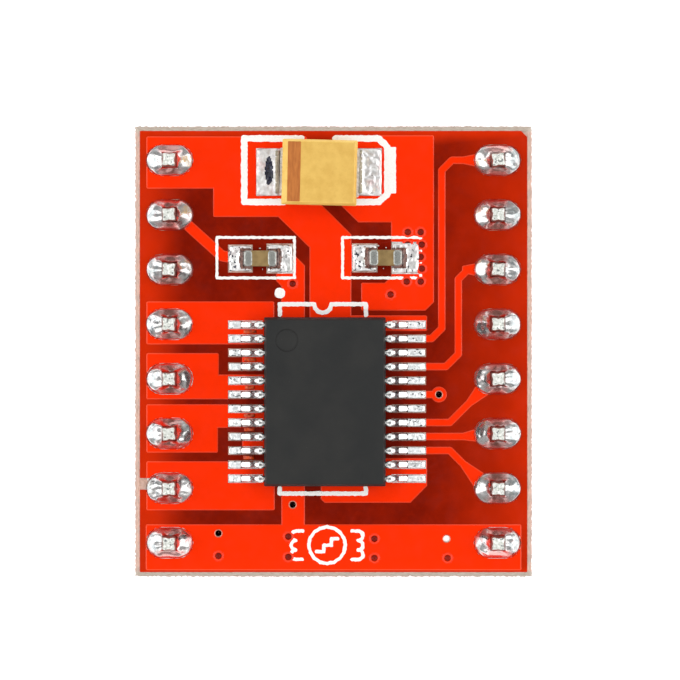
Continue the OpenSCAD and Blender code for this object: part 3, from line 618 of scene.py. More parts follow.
def layer(points, triangles, top, bottom):
    """A closed layer over flat triangles, between two heights that depend on the place"""
    used = sorted({i for t in triangles for i in t})
    new = {old: k for k, old in enumerate(used)}
    n = len(used)
    verts = [(*points[i], height(*points[i])) for height in (top, bottom) for i in used]
    tris = [[new[i] for i in t] for t in triangles]
    edges = dict.fromkeys(edge for t in tris for edge in closed(t))
    faces = tris + [[i + n for i in t[::-1]] for t in tris]
    faces += [[b, a, a + n, b + n] for a, b in edges if (b, a) not in edges]
    return verts, faces


# ---- Board ----

WIDEST_VIA = 0.5
# A covered via's section: radius in units of the drill's, and rise in units of the copper's thickness
VIA_PROFILE = ((0.2, -1.9), (0.45, -1.7), (0.7, -0.9), (0.85, 0.1), (1.0, 0.6), (1.25, 0.35), (1.5, 0.0))
VIA_RADII, VIA_RISES = zip(*VIA_PROFILE)
VIA_REACH = VIA_RADII[-1]


class Side:
    """One side of the board: where its copper is, and how its mask lies over it"""

    def __init__(self, name, out):
        self.name = name
        self.out = out
        self.core = CORE_TOP if out > 0 else CORE_BOTTOM
        self.copper_level = COPPER_TOP if out > 0 else COPPER_BOTTOM
        self.mask_level = MASK_TOP if out > 0 else MASK_BOTTOM
        self.copper = Region(f"{name}_copper", [self.copper_level], out)
        self.mask_raised = Region(f"{name}_solder_mask", [self.mask_level], out)
        self.mask = Region(f"{name}_solder_mask", [self.mask_level, self.copper_level], out)
        self.slope = 0.05
        drilled = self.copper.small_holes(WIDEST_VIA)
        self.covered = [hole for hole in drilled if self.mask.holds(hole[0], hole[1])]

    def from_via(self, x, y):
        """The distance from the nearest covered via's middle, in units of its radius"""
        return min((math.hypot(x - cx, y - cy) / r for cx, cy, r in self.covered), default=9)

    def edges(self):
        """Where the mask bends: along the copper, and in rings round the covered vias"""
        bends = self.copper.edges() + self.mask_raised.edges()
        bends = [e for e in bends if self.from_via(*e[0]) > VIA_REACH]
        for cx, cy, r in self.covered:
            for k in VIA_RADII:
                bends += closed(ring(cx, cy, r * k, 28))
        return bends

    def height(self, x, y):
        """The mask's surface: it drops beside the copper, and sags into covered vias"""
        near = self.from_via(x, y)
        if near < VIA_REACH:
            rise = 1 + float(np.interp(near, VIA_RADII, VIA_RISES))
        else:
            rise = max(0.0, 1 - self.copper.distance(x, y) / self.slope)
        return self.core + self.out * (MASK_T + rise * abs(self.copper_level - self.core))


def build_mask(side, finishes):
    """The mask film. It is thinner, so paler, where it bends over the copper's edges, and it is lightened
    there and in a ring round each covered via as a painted highlight.
    """
    points, triangles = fill(side.mask.edges() + side.edges())
    middles = centres_of(points, triangles)
    kept = [t for t, (x, y) in zip(triangles, middles) if side.mask.holds(x, y)]
    under = side.out * MASK_T * 0.9
    film = Solid(*layer(points, kept, side.height, lambda x, y: side.height(x, y) - under))
    slots = []
    # Slot 2, the paler red: along the copper's edges it is thinner mask plus a painted highlight, round each
    # covered via a painted highlight ring
    for x, y in film.centres():
        near = side.from_via(x, y)
        if near < VIA_REACH:
            slots.append(2 if 0.95 < near < 1.2 else 0 if near > 0.8 else 1)
        else:
            away = side.copper.distance(x, y)
            slots.append(0 if away == 0 else 2 if away < side.slope * 0.9 else 1)
    put(f"{side.name}_mask_film", film, finishes, [f"{side.name}_solder_mask"], 0, slots)


def build_ink(side, material):
    """Ink with slightly ragged edges, lying on the mask"""
    level = high("top_silkscreen")[2] if side.out > 0 else low("bottom_silkscreen")[2]
    printed = Region(f"{side.name}_silkscreen", [level], side.out)
    ragged = split_edges(printed.edges(), 0.06, lambda x, y: wobble(x, y, 0.13, 0.03, 4))
    points, triangles = fill(ragged + side.edges())
    kept = inside(points, triangles, ragged)
    lift = side.out * INK_T

    def face(x, y):
        return side.height(x, y) + lift

    marks = Solid(*layer(points, kept, face, lambda x, y: side.height(x, y) - lift / 2))
    put(f"{side.name}_ink", marks, material, [f"{side.name}_silkscreen"], 0)


def build_laminate(material):
    """The board's core: drilled, with scored slopes and a rough snapped band round its edge"""
    hx, hy = high("laminate")[0], high("laminate")[1]
    flat = Region("laminate", [CORE_TOP], 1)
    inset = hx - max(p[0] for p in flat.points)
    step = 0.09
    score = 0.5
    levels = 12
    loop = []
    for (x0, y0), (x1, y1) in closed([(hx, -hy), (hx, hy), (-hx, hy), (-hx, -hy)]):
        count = int(math.hypot(x1 - x0, y1 - y0) / step)
        loop.extend(((x0 + (x1 - x0) * k / count, y0 + (y1 - y0) * k / count) for k in range(count)))

    def pulled_in(p, by, rough, size, z):
        """A point of the loop moved towards the board's middle, and roughened"""
        n = noise.noise(Vector((p[0] / size, p[1] / size, z / size)))
        amount = by + rough * (0.5 + n)
        x = max(-hx + amount, min(hx - amount, p[0]))
        y = max(-hy + amount, min(hy - amount, p[1]))
        return x, y, z

    bands = []
    thick = CORE_TOP - CORE_BOTTOM
    for k in range(levels + 1):
        z = CORE_BOTTOM + thick * k / levels
        from_face = min(z - CORE_BOTTOM, CORE_TOP - z)
        by = inset * max(0.0, 1 - from_face / score)
        rough = 0.03 if from_face < score else 0.1
        bands.append([pulled_in(p, by, rough, 0.22 if from_face < score else 0.14, z) for p in loop])
    bands[0] = [pulled_in(p, inset, 0.03, 0.3, CORE_BOTTOM) for p in loop]
    bands[-1] = [(x, y, CORE_TOP) for x, y, _ in bands[0]]
    outline = closed([p[:2] for p in bands[0]])
    margin = inset + 0.2
    holes = [e for e in flat.edges() if abs(e[0][0]) < hx - margin and abs(e[0][1]) < hy - margin]
    points, triangles = fill(outline + holes)
    kept = inside(points, triangles, outline + holes)
    verts, faces = layer(points, kept, lambda x, y: CORE_TOP, lambda x, y: CORE_BOTTOM)
    rim = {(round(x, 4), round(y, 4)) for x, y, _ in bands[0]}
    on_rim = [(round(v[0], 4), round(v[1], 4)) in rim for v in verts]
    core = Solid()
    core.add(verts, [f for f in faces if len(f) == 3 or not all(on_rim[i] for i in f)])
    core.add([p for band in bands for p in band], quads(len(loop), len(bands)))
    put("glass_epoxy_core", core, material, ["laminate"], 60)


top = Side("top", 1)
bottom = Side("bottom", -1)
red_over_copper = solder_mask("red_mask_over_copper", (255, 50, 5), (252, 48, 4))
# Over bare laminate the painted edge light runs from dark red in the middle to bright red near the edges
red_over_laminate = solder_mask("red_mask_over_laminate", (212, 44, 5), (121, 18, 2))
# Paler red for the copper's edges and the rims of covered vias: partly thinner mask, partly painted
# highlight
red_thin_and_highlit = solder_mask("red_mask_at_edges", (255, 84, 50), (236, 62, 30))
ink = white_ink()
for board_side in (top, bottom):
    build_mask(board_side, [red_over_copper, red_over_laminate, red_thin_and_highlit])
    build_ink(board_side, ink)
build_laminate(snapped_laminate())

# ---- Solder ----


def mound(solid, x0, x1, y0, y1, height, nx, ny, base=COPPER_TOP):
    """A closed patch of solder over a rounded rectangle, as high as height(x, y) above the copper"""
    cx, cy, hx, hy = (x0 + x1) / 2, (y0 + y1) / 2, (x1 - x0) / 2, (y1 - y0) / 2
    verts = []
    for j in range(ny + 1):
        for i in range(nx + 1):
            u, v = 2 * i / nx - 1, 2 * j / ny - 1
            u, v = (math.sin(t * TAU / 4) for t in (u, v))
            pinch = 0.05 * (u * v) ** 4
            x, y = cx + hx * u * (1 - pinch), cy + hy * v * (1 - pinch)
            edge = (1 - abs(u) ** 8) * (1 - abs(v) ** 8)
            border = i in (0, nx) or j in (0, ny)
            dx, dy = wobble(x, y, 0.2, 0.016, 5) if border else (0, 0)
            verts.append((x + dx, y + dy, base + (0 if border else edge**0.5 * height(x, y))))
    row = nx + 1
    faces = [
        [j * row + i, j * row + i + 1, (j + 1) * row + i + 1, (j + 1) * row + i]
        for j in range(ny)
        for i in range(nx)
    ]
    rim = list(range(nx)) + [j * row + nx for j in range(ny)]
    rim += [ny * row + nx - i for i in range(nx)] + [(ny - j) * row for j in range(ny)]
    under = base - 0.004
    start = len(verts)
    verts += [(verts[i][0], verts[i][1], under) for i in rim]
    n = len(rim)
    faces += [[rim[(k + 1) % n], rim[k], start + k, start + (k + 1) % n] for k in range(n)]
    faces.append([start + k for k in range(n)][::-1])
    solid.add(verts, faces)


def grain(x, y, size, seed=0.0):
    """Smooth noise from -1 to 1"""
    return noise.noise(Vector((x / size, y / size, seed)))


def header_joint(solid, cx, cy, pin_half):
    """Solder on a pad: it climbs in straight slopes from an oval rim, and hugs the pin at the top"""
    length = 2.19 + 0.02 * grain(cx, cy, 3.1, 1)
    width = 1.45 + 0.02 * grain(cx, cy, 2.7, 2)
    climb = 0.5 + 0.16 * grain(cx, cy, 3.7, 3)
    skirt = 0.05 + 0.05 * grain(cx, cy, 2.3, 4)
    swell = 0.1 + 0.1 * grain(cx, cy, 1.9, 9)
    around, rings = 72, 20
    loops = []
    for k in range(rings + 1):
        s = (k / rings) ** 0.9
        loop = []
        for i in range(around):
            a = i * TAU / around
            c, d = math.cos(a), math.sin(a)
            reach = (length - width) / 2 * max(-1, min(1, 4 * c))
            rim_x, rim_y = reach + width / 2 * c, width / 2 * d
            square = pin_half * 1.01 / (abs(c) ** 9 + abs(d) ** 9) ** (1 / 9)
            x = rim_x + (square * c - rim_x) * s
            y = rim_y + (square * d - rim_y) * s
            lean = 1 + 0.45 * grain(cx + 1.2 * c, cy + 1.2 * d, 1.1, 5)
            toward_board = max(0.0, -c * math.copysign(1, cx))
            rise = lean * climb * (1 - 0.3 * d * d)
            z = rise * (s + swell * math.sin(math.pi * s)) + 0.06 * min(1, 12 * s)
            z += (skirt + 0.35 * toward_board**6) * s**7
            fade = min(1, 5 * s) * min(1, 6 * (1 - s))
            z += fade * (0.05 * grain(cx + x, cy + y, 0.4, 6) + 0.012 * grain(cx + x, cy + y, 0.15, 7))
            dx, dy = wobble(cx + x, cy + y, 0.4, 0.03 * (1 - s), 8)
            loop.append((cx + x + dx, cy + y + dy, COPPER_TOP + z))
        loops.append(loop)
    inner = [(x, y, CORE_TOP - 0.4) for x, y, _ in loops[-1]]
    outer = [(x, y, COPPER_TOP - 0.006) for x, y, _ in loops[0]]
    solid.loft([outer] + loops + [inner], caps=False)


def build_header_joints(row, material):
    solid = Solid()
    for number in range(1, 9):
        pin = f"{row}_pin_{number}"
        cx, cy, _ = middle(pin)
        header_joint(solid, cx, cy, (high(pin)[0] - low(pin)[0]) / 2)
    put(f"{row}_pin_joints", solid, material, [f"{row}_header_solder"], 50)


def build_pin(row, number, finishes):
    """A square pin with a pointed lower end, and a sheared upper end with hollow sides"""
    node = f"{row}_pin_{number}"
    (x0, y0, z0), (x1, y1, z1) = low(node), high(node)
    cx, cy, half = (x0 + x1) / 2, (y0 + y1) / 2, (x1 - x0) / 2
    turn = 0.18 * grain(cx, cy, 1.7, 1)
    around = 48

    def section(z, size, hollow, bumpy=0.0):
        loop = []
        for i in range(around):
            a = i * TAU / around
            c, d = math.cos(a + turn), math.sin(a + turn)
            square = size / (abs(math.cos(a)) ** 12 + abs(math.sin(a)) ** 12) ** (1 / 12)
            square *= 1 - hollow * abs(math.cos(2 * a)) ** 3
            x, y = cx + square * c, cy + square * d
            loop.append((x, y, z + bumpy * grain(x, y, 0.17, 2)))
        return loop

    shaft = Solid()
    sizes = ((z0, 0.42, 0), (z0 + 0.3, 0.94, 0), (z0 + 0.36, 1, 0), (z1 - 0.9, 1, 0), (z1 - 0.35, 0.98, 0))
    loops = [section(z, half * size, hollow) for z, size, hollow in sizes]
    loops += [section(z1 - 0.12, half * 0.93, 0.08), section(z1 - 0.03, half * 0.9, 0.13, 0.02)]
    shaft_loops = len(loops)
    loops += [section(z1 - 0.004, half * 0.86, 0.14, 0.03)]
    loops += [section(z1, half * k, 0.1, 0.05) for k in (0.7, 0.5, 0.3, 0.12)]
    shaft.loft(loops)
    stained = 3
    bands = [0] * (shaft_loops - 1 - stained) + [2] * stained + [1] * (len(loops) - shaft_loops)
    slots = [slot for slot in bands for _ in range(around)] + [0, 1]
    put(node + "_bar", shaft, finishes, [node], 40, slots)


LEAD_PITCH = 0.65
LEADS = 12


def lead_y(cy, i):
    return cy + (i - (LEADS - 1) / 2) * LEAD_PITCH


def build_leads(side, finishes):
    """Gull-wing leads: a swollen shoulder, a thin bend painted darker as shade, and a foot that dips to its
    toe
    """
    sign = -1 if side == "left" else 1
    cx, cy, _ = middle("driver_body")
    node = f"driver_leads_{side}"
    foot_z, top_z = low(node)[2], high(node)[2]
    thick = 0.15
    up, down = top_z - thick / 2, foot_z + thick / 2
    far = 0.06 if side == "left" else 0
    path = [(2.62, up, 0.14), (2.79, up, 0.16), (2.83, up, 0.27), (2.9, up, 0.34), (3.02, up, 0.37)]
    path += [(3.14, up, 0.33), (3.21, up - 0.03, 0.24), (3.26, up - 0.1, 0.18), (3.31, up - 0.25, 0.16)]
    path += [(3.35, down + 0.22, 0.17), (3.38, down + 0.11, 0.18), (3.4 + far, down + 0.09, 0.27)]
    path += [(3.42 + far, down + 0.085, 0.3), (3.6 + far, down + 0.04, 0.3), (3.76 + far, down, 0.3)]
    path += [(3.78 + far, down - 0.01, 0.28), (3.8 + far, down - 0.03, 0.18)]
    # The bend's faces, from path point 6 to 10, take the darker tin: painted shade
    neck = (6, 10)
    steps = 16
    leads = Solid()
    for i in range(LEADS):
        y0 = lead_y(cy, i)
        loops = []
        for k, (u, z, wide) in enumerate(path):
            before, after = path[max(0, k - 1)], path[min(len(path) - 1, k + 1)]
            run, rise = after[0] - before[0], after[1] - before[1]
            length = math.hypot(run, rise)
            nu, nz = -rise / length, run / length
            wide *= 1 + 0.1 * grain(u, y0, 0.3, sign)
            swell = 1.35 if 2.9 < u < 3.1 else 1
            loop = []
            for j in range(steps):
                a = j * TAU / steps
                boxy = 0.5 if u > 3.39 else 0.85
                c, d = (math.copysign(abs(t) ** boxy, t) for t in (math.cos(a), math.sin(a)))
                out = d * thick / 2 * swell
                loop.append((cx + sign * (u + nu * out), y0 + c * wide / 2, z + nz * out))
            loops.append(loop)
        leads.loft(loops)
    bands = [int(neck[0] <= k < neck[1]) for k in range(len(path) - 1)]
    slots = [slot for slot in bands for _ in range(steps)] + [0, 0]
    put(f"{side}_gull_wing_leads", leads, finishes, [node], 50, slots * LEADS)


def build_driver_joints(side, finishes):
    """A joint at each foot: an uneven puddle with a dark line of painted shade past the toe"""
    sign = -1 if side == "left" else 1
    solder_low, solder_high = low(f"driver_solder_{side}"), high(f"driver_solder_{side}")
    start, end = sorted((solder_low[0], solder_high[0]))
    cx, cy, _ = middle("driver_body")
    toe = high("driver_leads_right")[0] - cx + (0.04 if side == "left" else -0.02)
    foot = 0.42
    half = 0.12
    solid = Solid()
    for i in range(LEADS):
        y0 = lead_y(cy, i)
        wide = 0.175 + 0.02 * grain(sign * 9, y0, 0.5, 1)

        def height(x, y):
            u = sign * (x - cx)
            past = max(0, u - toe, toe - foot - u)
            beside = max(0, abs(y - y0) - half)
            climb = 0.04 * math.exp(-past / 0.1) * math.exp(-beside / 0.06)
            crown = 0.03 * max(0.0, 1 - ((y - y0) / 0.2) ** 2)
            groove = 1 - 0.8 * math.exp(-(((u - toe - 0.02) / 0.035) ** 2))
            uneven = 0.03 * grain(x, y, 0.24, 3) + 0.012 * grain(x, y, 0.1, 4)
            return groove * (0.03 + crown + climb + uneven)

        mound(solid, start, end, y0 - wide, y0 + wide, height, 56, 10)
    # Faces just past the toe take the dark film: painted shade
    slots = []
    for x, y in solid.centres():
        past = sign * (x - cx) - toe
        slots.append(int(0.0 < past + wobble(x, y, 0.1, 0.02, 5)[0] < 0.06))
    put(f"driver_joints_{side}", solid, finishes, [f"driver_solder_{side}"], 60, slots)


def pad_boxes(node, cx):
    """The two pads under a part's solder, as x0, x1, y0, y1, the one to the left of cx first"""
    points = Region(node, [COPPER_TOP], -1).points
    boxes = []
    for side in (-1, 1):
        xs, ys = zip(*[p for p in points if side * (p[0] - cx) > 0])
        boxes.append((min(xs), max(xs), min(ys), max(ys)))
    return boxes


def build_end_joints(name, node, ends, climb, spread, climb_w, pads, finishes, stain):
    """Solder on the two pads of a chip part, with a hollow fillet up each end.

    stain(k, past, across) picks a finish at a place this far past the part's end and off its middle line.
    """
    for k, (x0, x1, y0, y1) in enumerate(pads):
        sign = -1 if k == 0 else 1
        cy = (y0 + y1) / 2

        def height(x, y):
            past = sign * (x - ends[k])
            across = max(0.0, 1 - (abs(y - cy) / climb_w) ** 4)
            fillet = climb[k] * math.exp(-max(0, past) / spread) * across if past > -0.02 else 0
            return 0.07 + fillet + 0.045 * grain(x, y, 0.4, 3) + 0.03 * grain(x, y, 0.16, 4)

        patch = Solid()
        mound(patch, x0, x1, y0, y1, height, int((x1 - x0) / 0.03), int((y1 - y0) / 0.035))
        slots = []
        for x, y in patch.centres():
            dx, dy = wobble(x, y, 0.12, 0.05, 7)
            slots.append(stain(k, sign * (x - ends[k]) + dx, y - cy + dy))
        side = "left" if k == 0 else "right"
        replaced = [node] if k == 0 else ()
        put(f"{name}_{side}", patch, finishes, replaced, 60, slots)


def build_solder_balls(name, places, material):
    """Small beads of solder left on the mask"""
    beads = Solid()
    for x, y, r in places:
        loops = []
        for turn in (-70, -40, -10, 20, 45, 70, 85):
            a = math.radians(turn)
            z = MASK_TOP + r * (0.8 + math.sin(a))
            loops.append([(px, py, z) for px, py in ring(x, y, r * math.cos(a), 12)])
        beads.loft(loops)
    put(name, beads, material, (), 80)


def build_flux_lumps(material):
    """Amber flux left between some of the driver's feet on the left"""
    cx, cy, _ = middle("driver_body")
    half = 0.09
    gaps = (0, 2, 4, 6, 7, 9)
    lumps = Solid()

    def height(x, y):
        return 0.09 + 0.05 * grain(x, y, 0.15, 3)

    for i in gaps:
        y0 = cy - (i + 1 - LEADS / 2) * LEAD_PITCH
        x0 = cx - 3.5 + 0.1 * grain(cx, y0, 0.9, 1)
        reach = 0.26 + 0.1 * grain(cx, y0, 0.7, 2)
        mound(lumps, x0 - reach, x0 + reach, y0 - half, y0 + half, height, 12, 8)
    put("flux_lumps", lumps, material, (), 60)


# ---- Components ----


def block_loops(x0, x1, y0, y1, z0, z1, corner, edge, lean=0.0, ridge=0.0, steps=3):
    """Rounded-box sections from z0 to z1, widest halfway up, with rounded edges and a parting ridge"""
    mid = (z0 + z1) / 2
    levels = []
    for k in range(steps + 1):
        a = TAU / 4 * k / steps
        levels.append((z0 + edge * (1 - math.cos(a)), edge * (1 - math.sin(a))))
    if ridge:
        foot = 1.6 * ridge
        levels += [(mid - foot, 0), (mid - ridge, -ridge), (mid + ridge, -ridge), (mid + foot, 0)]
    levels += [(z0 + z1 - z, inset) for z, inset in levels[steps::-1]]
    loops = []
    for z, inset in levels:
        d = inset + abs(z - mid) * lean
        loops.append([(x, y, z) for x, y in box_loop(x0 + d, x1 - d, y0 + d, y1 - d, corner)])
    return loops


def build_driver_body(material):
    """The moulded body: leaning sides that meet in a parting line, and a shallow round pin 1 dimple"""
    (x0, y0, z0), (x1, y1, z1) = low("driver_body"), high("driver_body")
    body = Solid()
    loops = block_loops(x0, x1, y0, y1, z0, z1, 0.06, 0.035, lean=0.14, ridge=0.02)
    n = len(loops[0])
    underside = list(range(n))[::-1]
    body.add([p for loop in loops for p in loop], [underside] + quads(n, len(loops)))
    dimple = (x0 + 1.04, y1 - 1.05)
    radii, depths = zip((0.54, 0.0), (0.53, 0.004), (0.515, 0.02), (0.5, 0.055), (0.47, 0.07))
    edges = closed([p[:2] for p in loops[-1]])
    for r in radii:
        edges += closed(ring(*dimple, r, 64))
    points, triangles = fill(edges)

    def level(x, y):
        r = math.hypot(x - dimple[0], y - dimple[1])
        return z1 - float(np.interp(-r, [-radius for radius in radii], depths))

    body.add([(x, y, level(x, y)) for x, y in points], [list(t) for t in triangles])
    put("driver_moulding", body, material, ["driver_body"], 30)


TANTALUM_TURN = math.radians(-1.3)
TANTALUM_SIZE = (3.45, 3.0)
TANTALUM_LEAN = 0.085


def at_tantalum(x, y, z):
    """A point of the tantalum capacitor's own frame, in the row's frame"""
    cx, cy, _ = middle("tantalum_case")
    c, s = math.cos(TANTALUM_TURN), math.sin(TANTALUM_TURN)
    return cx + c * x - s * y, cy + s * x + c * y, z


def build_tantalum(finishes, band_material):
    """The moulded case, bevelled along the top of its anode end, and the printed band beside the bevel"""
    z0, z1 = low("tantalum_case")[2], high("tantalum_case")[2]
    hx, hy = (s / 2 for s in TANTALUM_SIZE)
    bevel = 0.16
    drawn_in = TANTALUM_LEAN * (z1 - z0) / 2
    case = Solid()
    loops = []
    for loop in block_loops(-hx, hx, -hy, hy, z0, z1, 0.05, 0.04, lean=TANTALUM_LEAN, ridge=0.018):
        z = loop[0][2]
        cut = max(0.0, z - (z1 - bevel))
        if cut and loops[-1][0][2] < z1 - bevel - 1e-6:
            loops.append([(x, y, z1 - bevel) for x, y, _ in loops[-1]])
        edge = -hx + drawn_in + cut
        loops.append([(max(x, edge) if cut else x, y, z) for x, y, _ in loop])
    case.loft([[at_tantalum(*p) for p in loop] for loop in loops])
    moulding = put("tantalum_moulding", case, finishes, ["tantalum_case"], 30)
    # Sloped faces take the lighter copy of the epoxy: a painted highlight on the bevel and rounded edges
    for face in moulding.data.polygons:
        face.material_index = 1 if 0.2 < face.normal.z < 0.97 else 0
    band = Solid()
    start = -hx + drawn_in + bevel + 0.01
    reach = hy - drawn_in - 0.035
    outline = box_loop(start, start + 0.6, -reach, reach, 0.03)
    ragged = [(x + wobble(x, y, 0.2, 0.02)[0], y) for x, y in outline]
    band.loft([[at_tantalum(x, y, z) for x, y in ragged] for z in (z1 - 0.01, z1 + 0.004)])
    put("polarity_band", band, band_material, ["tantalum_polarity_band"], 0)


def build_ceramic(name, body_material, end_material):
    """A chip capacitor: a tan block between two metal ends that wrap round it"""
    (x0, y0, z0), (x1, y1, z1) = low(f"{name}_capacitor_left_end"), high(f"{name}_capacitor_right_end")
    end = high(f"{name}_capacitor_left_end")[0] - x0 + 0.05
    sunk = 0.02
    spans = (x0 + 0.05, x1 - 0.05, y0 + sunk, y1 - sunk, z0 + sunk, z1 - sunk)
    body = Solid()
    body.loft(block_loops(*spans, 0.05, 0.06, steps=5))
    put(f"{name}_ceramic", body, body_material, [f"{name}_capacitor_body"], 40)
    for side, a, b in (("left", x0, x0 + end), ("right", x1 - end, x1)):
        cap = Solid()
        loops = []
        for loop in block_loops(a, b, y0, y1, z0, z1, 0.12, 0.1, steps=6):
            moved = []
            for x, y, z in loop:
                inner = x - a > 0.5 * (b - a) if side == "left" else x - a < 0.5 * (b - a)
                wave = wobble(y, z, 0.25, 0.05, a)[0] if inner else 0
                moved.append((x + wave, y, z))
            loops.append(moved)
        cap.loft(loops)
        node = f"{name}_capacitor_{side}_end"
        put(f"{name}_{side}_termination", cap, end_material, [node], 50)


def build_via_rims(vias, material):
    """A thin bright rim round each open via, inside the mask's opening"""
    rims = Solid()
    section = ((0.75, -0.02), (0.77, 0.008), (0.83, 0.014), (0.93, 0.014), (1.0, 0.004), (1.01, -0.005))
    for cx, cy, opening in vias:
        loops = [[(x, y, COPPER_TOP + z) for x, y in ring(cx, cy, opening * k, 40)] for k, z in section]
        rims.loft(loops, caps=False)
    put("via_rims", rims, material, (), 50)


def finish_node(name, material, bevel=0.0):
    """Gives a CAD node that stays its material, and rounds its edges"""
    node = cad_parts[name]
    node.data.materials.clear()
    node.data.materials.append(material)
    if bevel:
        weld = node.modifiers.new("weld", "WELD")
        weld.merge_threshold = 1e-7
        rounding = node.modifiers.new("rounding", "BEVEL")
        rounding.width = bevel * MM
        rounding.segments = 2
        rounding.limit_method = "ANGLE"
        rounding.angle_limit = math.radians(30)
        rounding.harden_normals = False


joint_solder = pin_solder()
pad_solder = bright_solder("pad_solder", 0.14, 0.8).material
frosted_solder = bright_solder("frosted_solder", 0.32, 0.8).material
stained_tin = plain("stained_tin", (164, 146, 136), (134, 114, 106), 0.5)
pin_tin = plain("pin_tin", (180, 174, 160), (163, 157, 143), 0.35)
# Darker tin for the leads' bends: painted shade
shaded_neck_tin = plain("shaded_neck_tin", (140, 138, 140), (84, 78, 82), 0.5)
# Dark film past the driver's toes: painted shade
toe_shade = flux("toe_shade", (70, 58, 60), (30, 22, 26))
pad_tin = scratched_tin()
tin = dull_tin()
tips = sheared_tin()
leads_tin = lead_tin()
# Dark film: real flux spots on the ceramic capacitors' pads, and a painted reflection on the tantalum's left
# pad
dark_flux_and_painted_reflection = flux("dark_flux_and_painted_reflection", (34, 36, 62), (14, 14, 26))
# Brown film: painted shade and reflection on the ceramic capacitors' fillets
fillet_shade_and_reflection = flux("fillet_shade_and_reflection", (142, 104, 92), (66, 36, 30))
amber_flux = flux("amber_flux", (232, 84, 14), (150, 34, 8))
strip_tin = plain("strip_tin", (190, 182, 160), (140, 132, 116), 0.5)
for row in ("left", "right"):
    build_header_joints(row, joint_solder)
    build_driver_joints(row, [pad_tin, toe_shade])
    build_leads(row, [leads_tin, shaded_neck_tin])
    for number in range(1, 9):
        build_pin(row, number, [pin_tin, tips, stained_tin])


def tantalum_stain(k, past, across):
    """0 is solder, 1 the terminal's dull tin, 2 a dark oval of painted reflection on the left pad, 3 the
    left pad's frosted solder
    """
    if past < (0.2 if k == 0 else 0.12):
        return 1 if abs(across) < 1.0 else 0
    # Painted reflection: a dark oval where the hollow solder would mirror the dark sky overhead
    if k == 0 and math.hypot((past - 0.5) / 0.19, (across - 0.06) / 0.66) < 1:
        return 2
    return 0 if k else 3


def ceramic_stain(k, past, across):
    """0 is solder, 1 a crescent of painted brown shade and reflection on the fillet round the end, 2 small
    dark flux spots on the left pad
    """
    # Painted shade and reflection: a brown crescent on the fillet round the end
    if past < 0.2 - 0.3 * across**2 and abs(across) < 0.48:
        return 1
    speck = grain(past, across, 0.11, 12 + k)
    return 2 if speck > (0.28 if 0.35 < past < 0.75 and k == 0 else 0.48) else 0


tantalum_x = middle("tantalum_case")[0]
terminals = (low("tantalum_anode_terminal")[0], high("tantalum_cathode_terminal")[0])
build_end_joints(
    "tantalum_joint",
    "tantalum_solder",
    terminals,
    (0.4, 0.22),
    0.1,
    1.15,
    pad_boxes("tantalum_solder", tantalum_x),
    [pad_solder, strip_tin, dark_flux_and_painted_reflection, frosted_solder],
    tantalum_stain,
)
for cap in ("logic", "motor"):
    cap_x, cap_y, _ = middle(f"{cap}_capacitor_body")
    build_end_joints(
        f"{cap}_joint",
        f"{cap}_capacitor_solder",
        (low(f"{cap}_capacitor_left_end")[0] - 0.02, high(f"{cap}_capacitor_right_end")[0] + 0.02),
        (0.3, 0.3),
        0.09,
        0.5,
        pad_boxes(f"{cap}_capacitor_solder", cap_x),
        [pad_solder, fillet_shade_and_reflection, dark_flux_and_painted_reflection],
        ceramic_stain,
    )
    beads = [(-0.02, 0.47, 0.045), (0.34, 0.56, 0.05), (0.1, -0.49, 0.03)]
    beads += [(0.5, -0.62, 0.055), (-0.44, -0.5, 0.04)]
    turned = 1 if cap == "logic" else -1
    beads = [(cap_x + turned * dx, cap_y + dy, r) for dx, dy, r in beads]
    build_solder_balls(f"{cap}_solder_beads", beads, pad_solder)
build_flux_lumps(amber_flux)

build_driver_body(moulding_compound())
epoxy = tantalum_epoxy("tantalum_epoxy", (229, 188, 96), (216, 171, 80))
# Lighter copy of the epoxy for the sloped faces: painted highlight
highlit_epoxy = tantalum_epoxy("highlit_tantalum_epoxy", (248, 208, 112), (238, 192, 92))
build_tantalum([epoxy, highlit_epoxy], band_ink())
ceramic, plated_end = capacitor_ceramic(), end_metal()
for cap in ("logic", "motor"):
    build_ceramic(cap, ceramic, plated_end)
rim_metal = plain("rim_metal", (240, 158, 132), (206, 112, 90), 0.35)
build_via_rims(top.mask.small_holes(WIDEST_VIA), rim_metal)

black_plastic = strip_plastic()
gold = plain("gold_wire", (255, 214, 120), (226, 176, 84), 0.25)
nickel = plain("nickel", (190, 186, 176), (160, 156, 148), 0.4)
dark_metal = plain("sintered_tantalum", (84, 86, 92), (58, 60, 66), 0.6)
silicon = plain("silicon", (84, 88, 104), (66, 70, 84), 0.15, 0.0)
silver_glue = plain("silver_adhesive", (190, 190, 188), (160, 160, 160), 0.5, 0.0)
for node in ("top_copper", "bottom_copper", "header_hole_plating", "via_plating"):
    finish_node(node, tin)
for row in ("left", "right"):
    finish_node(f"{row}_header_strip", black_plastic, 0.05)
for node in ("tantalum_anode_terminal", "tantalum_cathode_terminal"):
    finish_node(node, tin, 0.02)
inner_finishes = {
    nickel: ("driver_die_pad", "logic_capacitor_electrodes", "motor_capacitor_electrodes"),
    silver_glue: ("driver_die_attach", "tantalum_silver_adhesive"),
    silicon: ("driver_die",),
    gold: ("driver_bond_wires",),
    dark_metal: ("tantalum_pellet", "tantalum_anode_wire"),
}
for finish, inner_nodes in inner_finishes.items():
    for node in inner_nodes:
        finish_node(node, finish)

# ---- Stage ----


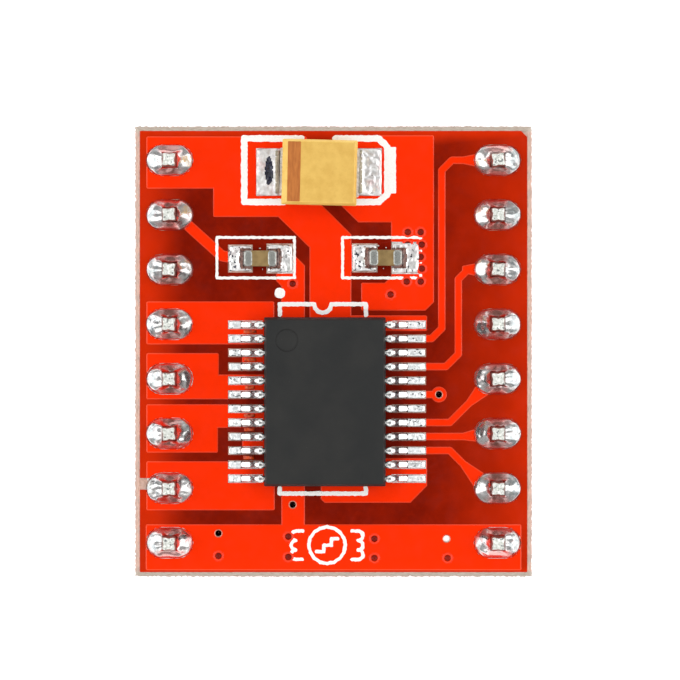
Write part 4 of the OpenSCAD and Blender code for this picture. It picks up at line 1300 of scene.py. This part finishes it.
def add_floor():
    half = 1500 * MM
    mesh = bpy.data.meshes.new("floor")
    corners = [(x * half, y * half, 0) for x, y in ((-1, -1), (1, -1), (1, 1), (-1, 1))]
    mesh.from_pydata(corners, [], [(0, 1, 2, 3)])
    mesh.materials.append(pale_floor())
    floor = bpy.data.objects.new("floor", mesh)
    bpy.context.scene.collection.objects.link(floor)


def add_softbox(name, place, size, power):
    """A rectangular light that faces the board"""
    data = bpy.data.lights.new(name, "AREA")
    data.shape = "RECTANGLE"
    data.size, data.size_y = (s * MM for s in size)
    data.energy = power
    light = bpy.data.objects.new(name, data)
    light.location = Vector(place) * MM
    towards = Vector((0, 0, CORE_TOP * MM)) - light.location
    light.rotation_euler = towards.to_track_quat("-Z", "Y").to_euler()
    bpy.context.scene.collection.objects.link(light)


def add_world():
    """Soft light all round, with a dark patch straight overhead, where the camera is"""
    world = bpy.data.worlds.new("studio")
    world.use_nodes = True
    nodes, links = world.node_tree.nodes, world.node_tree.links
    place = nodes.new("ShaderNodeTexCoord")
    split = nodes.new("ShaderNodeSeparateXYZ")
    ramp = nodes.new("ShaderNodeValToRGB")
    links.new(place.outputs["Generated"], split.inputs[0])
    links.new(split.outputs["Z"], ramp.inputs["Fac"])
    stops = ramp.color_ramp.elements
    stops[0].position, stops[0].color = 0.0, (0.36, 0.36, 0.36, 1)
    stops[1].position, stops[1].color = 1.0, (0.05, 0.05, 0.05, 1)
    for position, level in ((0.57, 0.4), (0.77, 1.05), (0.96, 1.05), (0.985, 0.07)):
        stops.new(position).color = (level, level, level, 1)
    links.new(ramp.outputs[0], nodes["Background"].inputs["Color"])
    nodes["Background"].inputs["Strength"].default_value = 1
    bpy.context.scene.world = world


def add_camera():
    """Straight above the board, from far away, with the board's far edge at the top"""
    shown = 31.6
    sensor = 36
    distance = 300
    aim = (0.3, 0.535)
    data = bpy.data.cameras.new("camera")
    data.sensor_width = sensor
    data.lens = sensor * distance / shown
    camera = bpy.data.objects.new("camera", data)
    camera.location = (aim[0] * MM, aim[1] * MM, (MASK_TOP + distance) * MM)
    bpy.context.scene.collection.objects.link(camera)
    bpy.context.scene.camera = camera


add_floor()
add_world()
for x in (-1, 1):
    add_softbox(f"side_light_{'left' if x < 0 else 'right'}", (x * 260, 0, 190), (260, 420), 0.46)
for y in (-1, 1):
    add_softbox(f"fill_light_{'front' if y < 0 else 'back'}", (0, y * 300, 200), (300, 160), 0.06)
add_camera()
bpy.context.scene.view_settings.view_transform = "Standard"
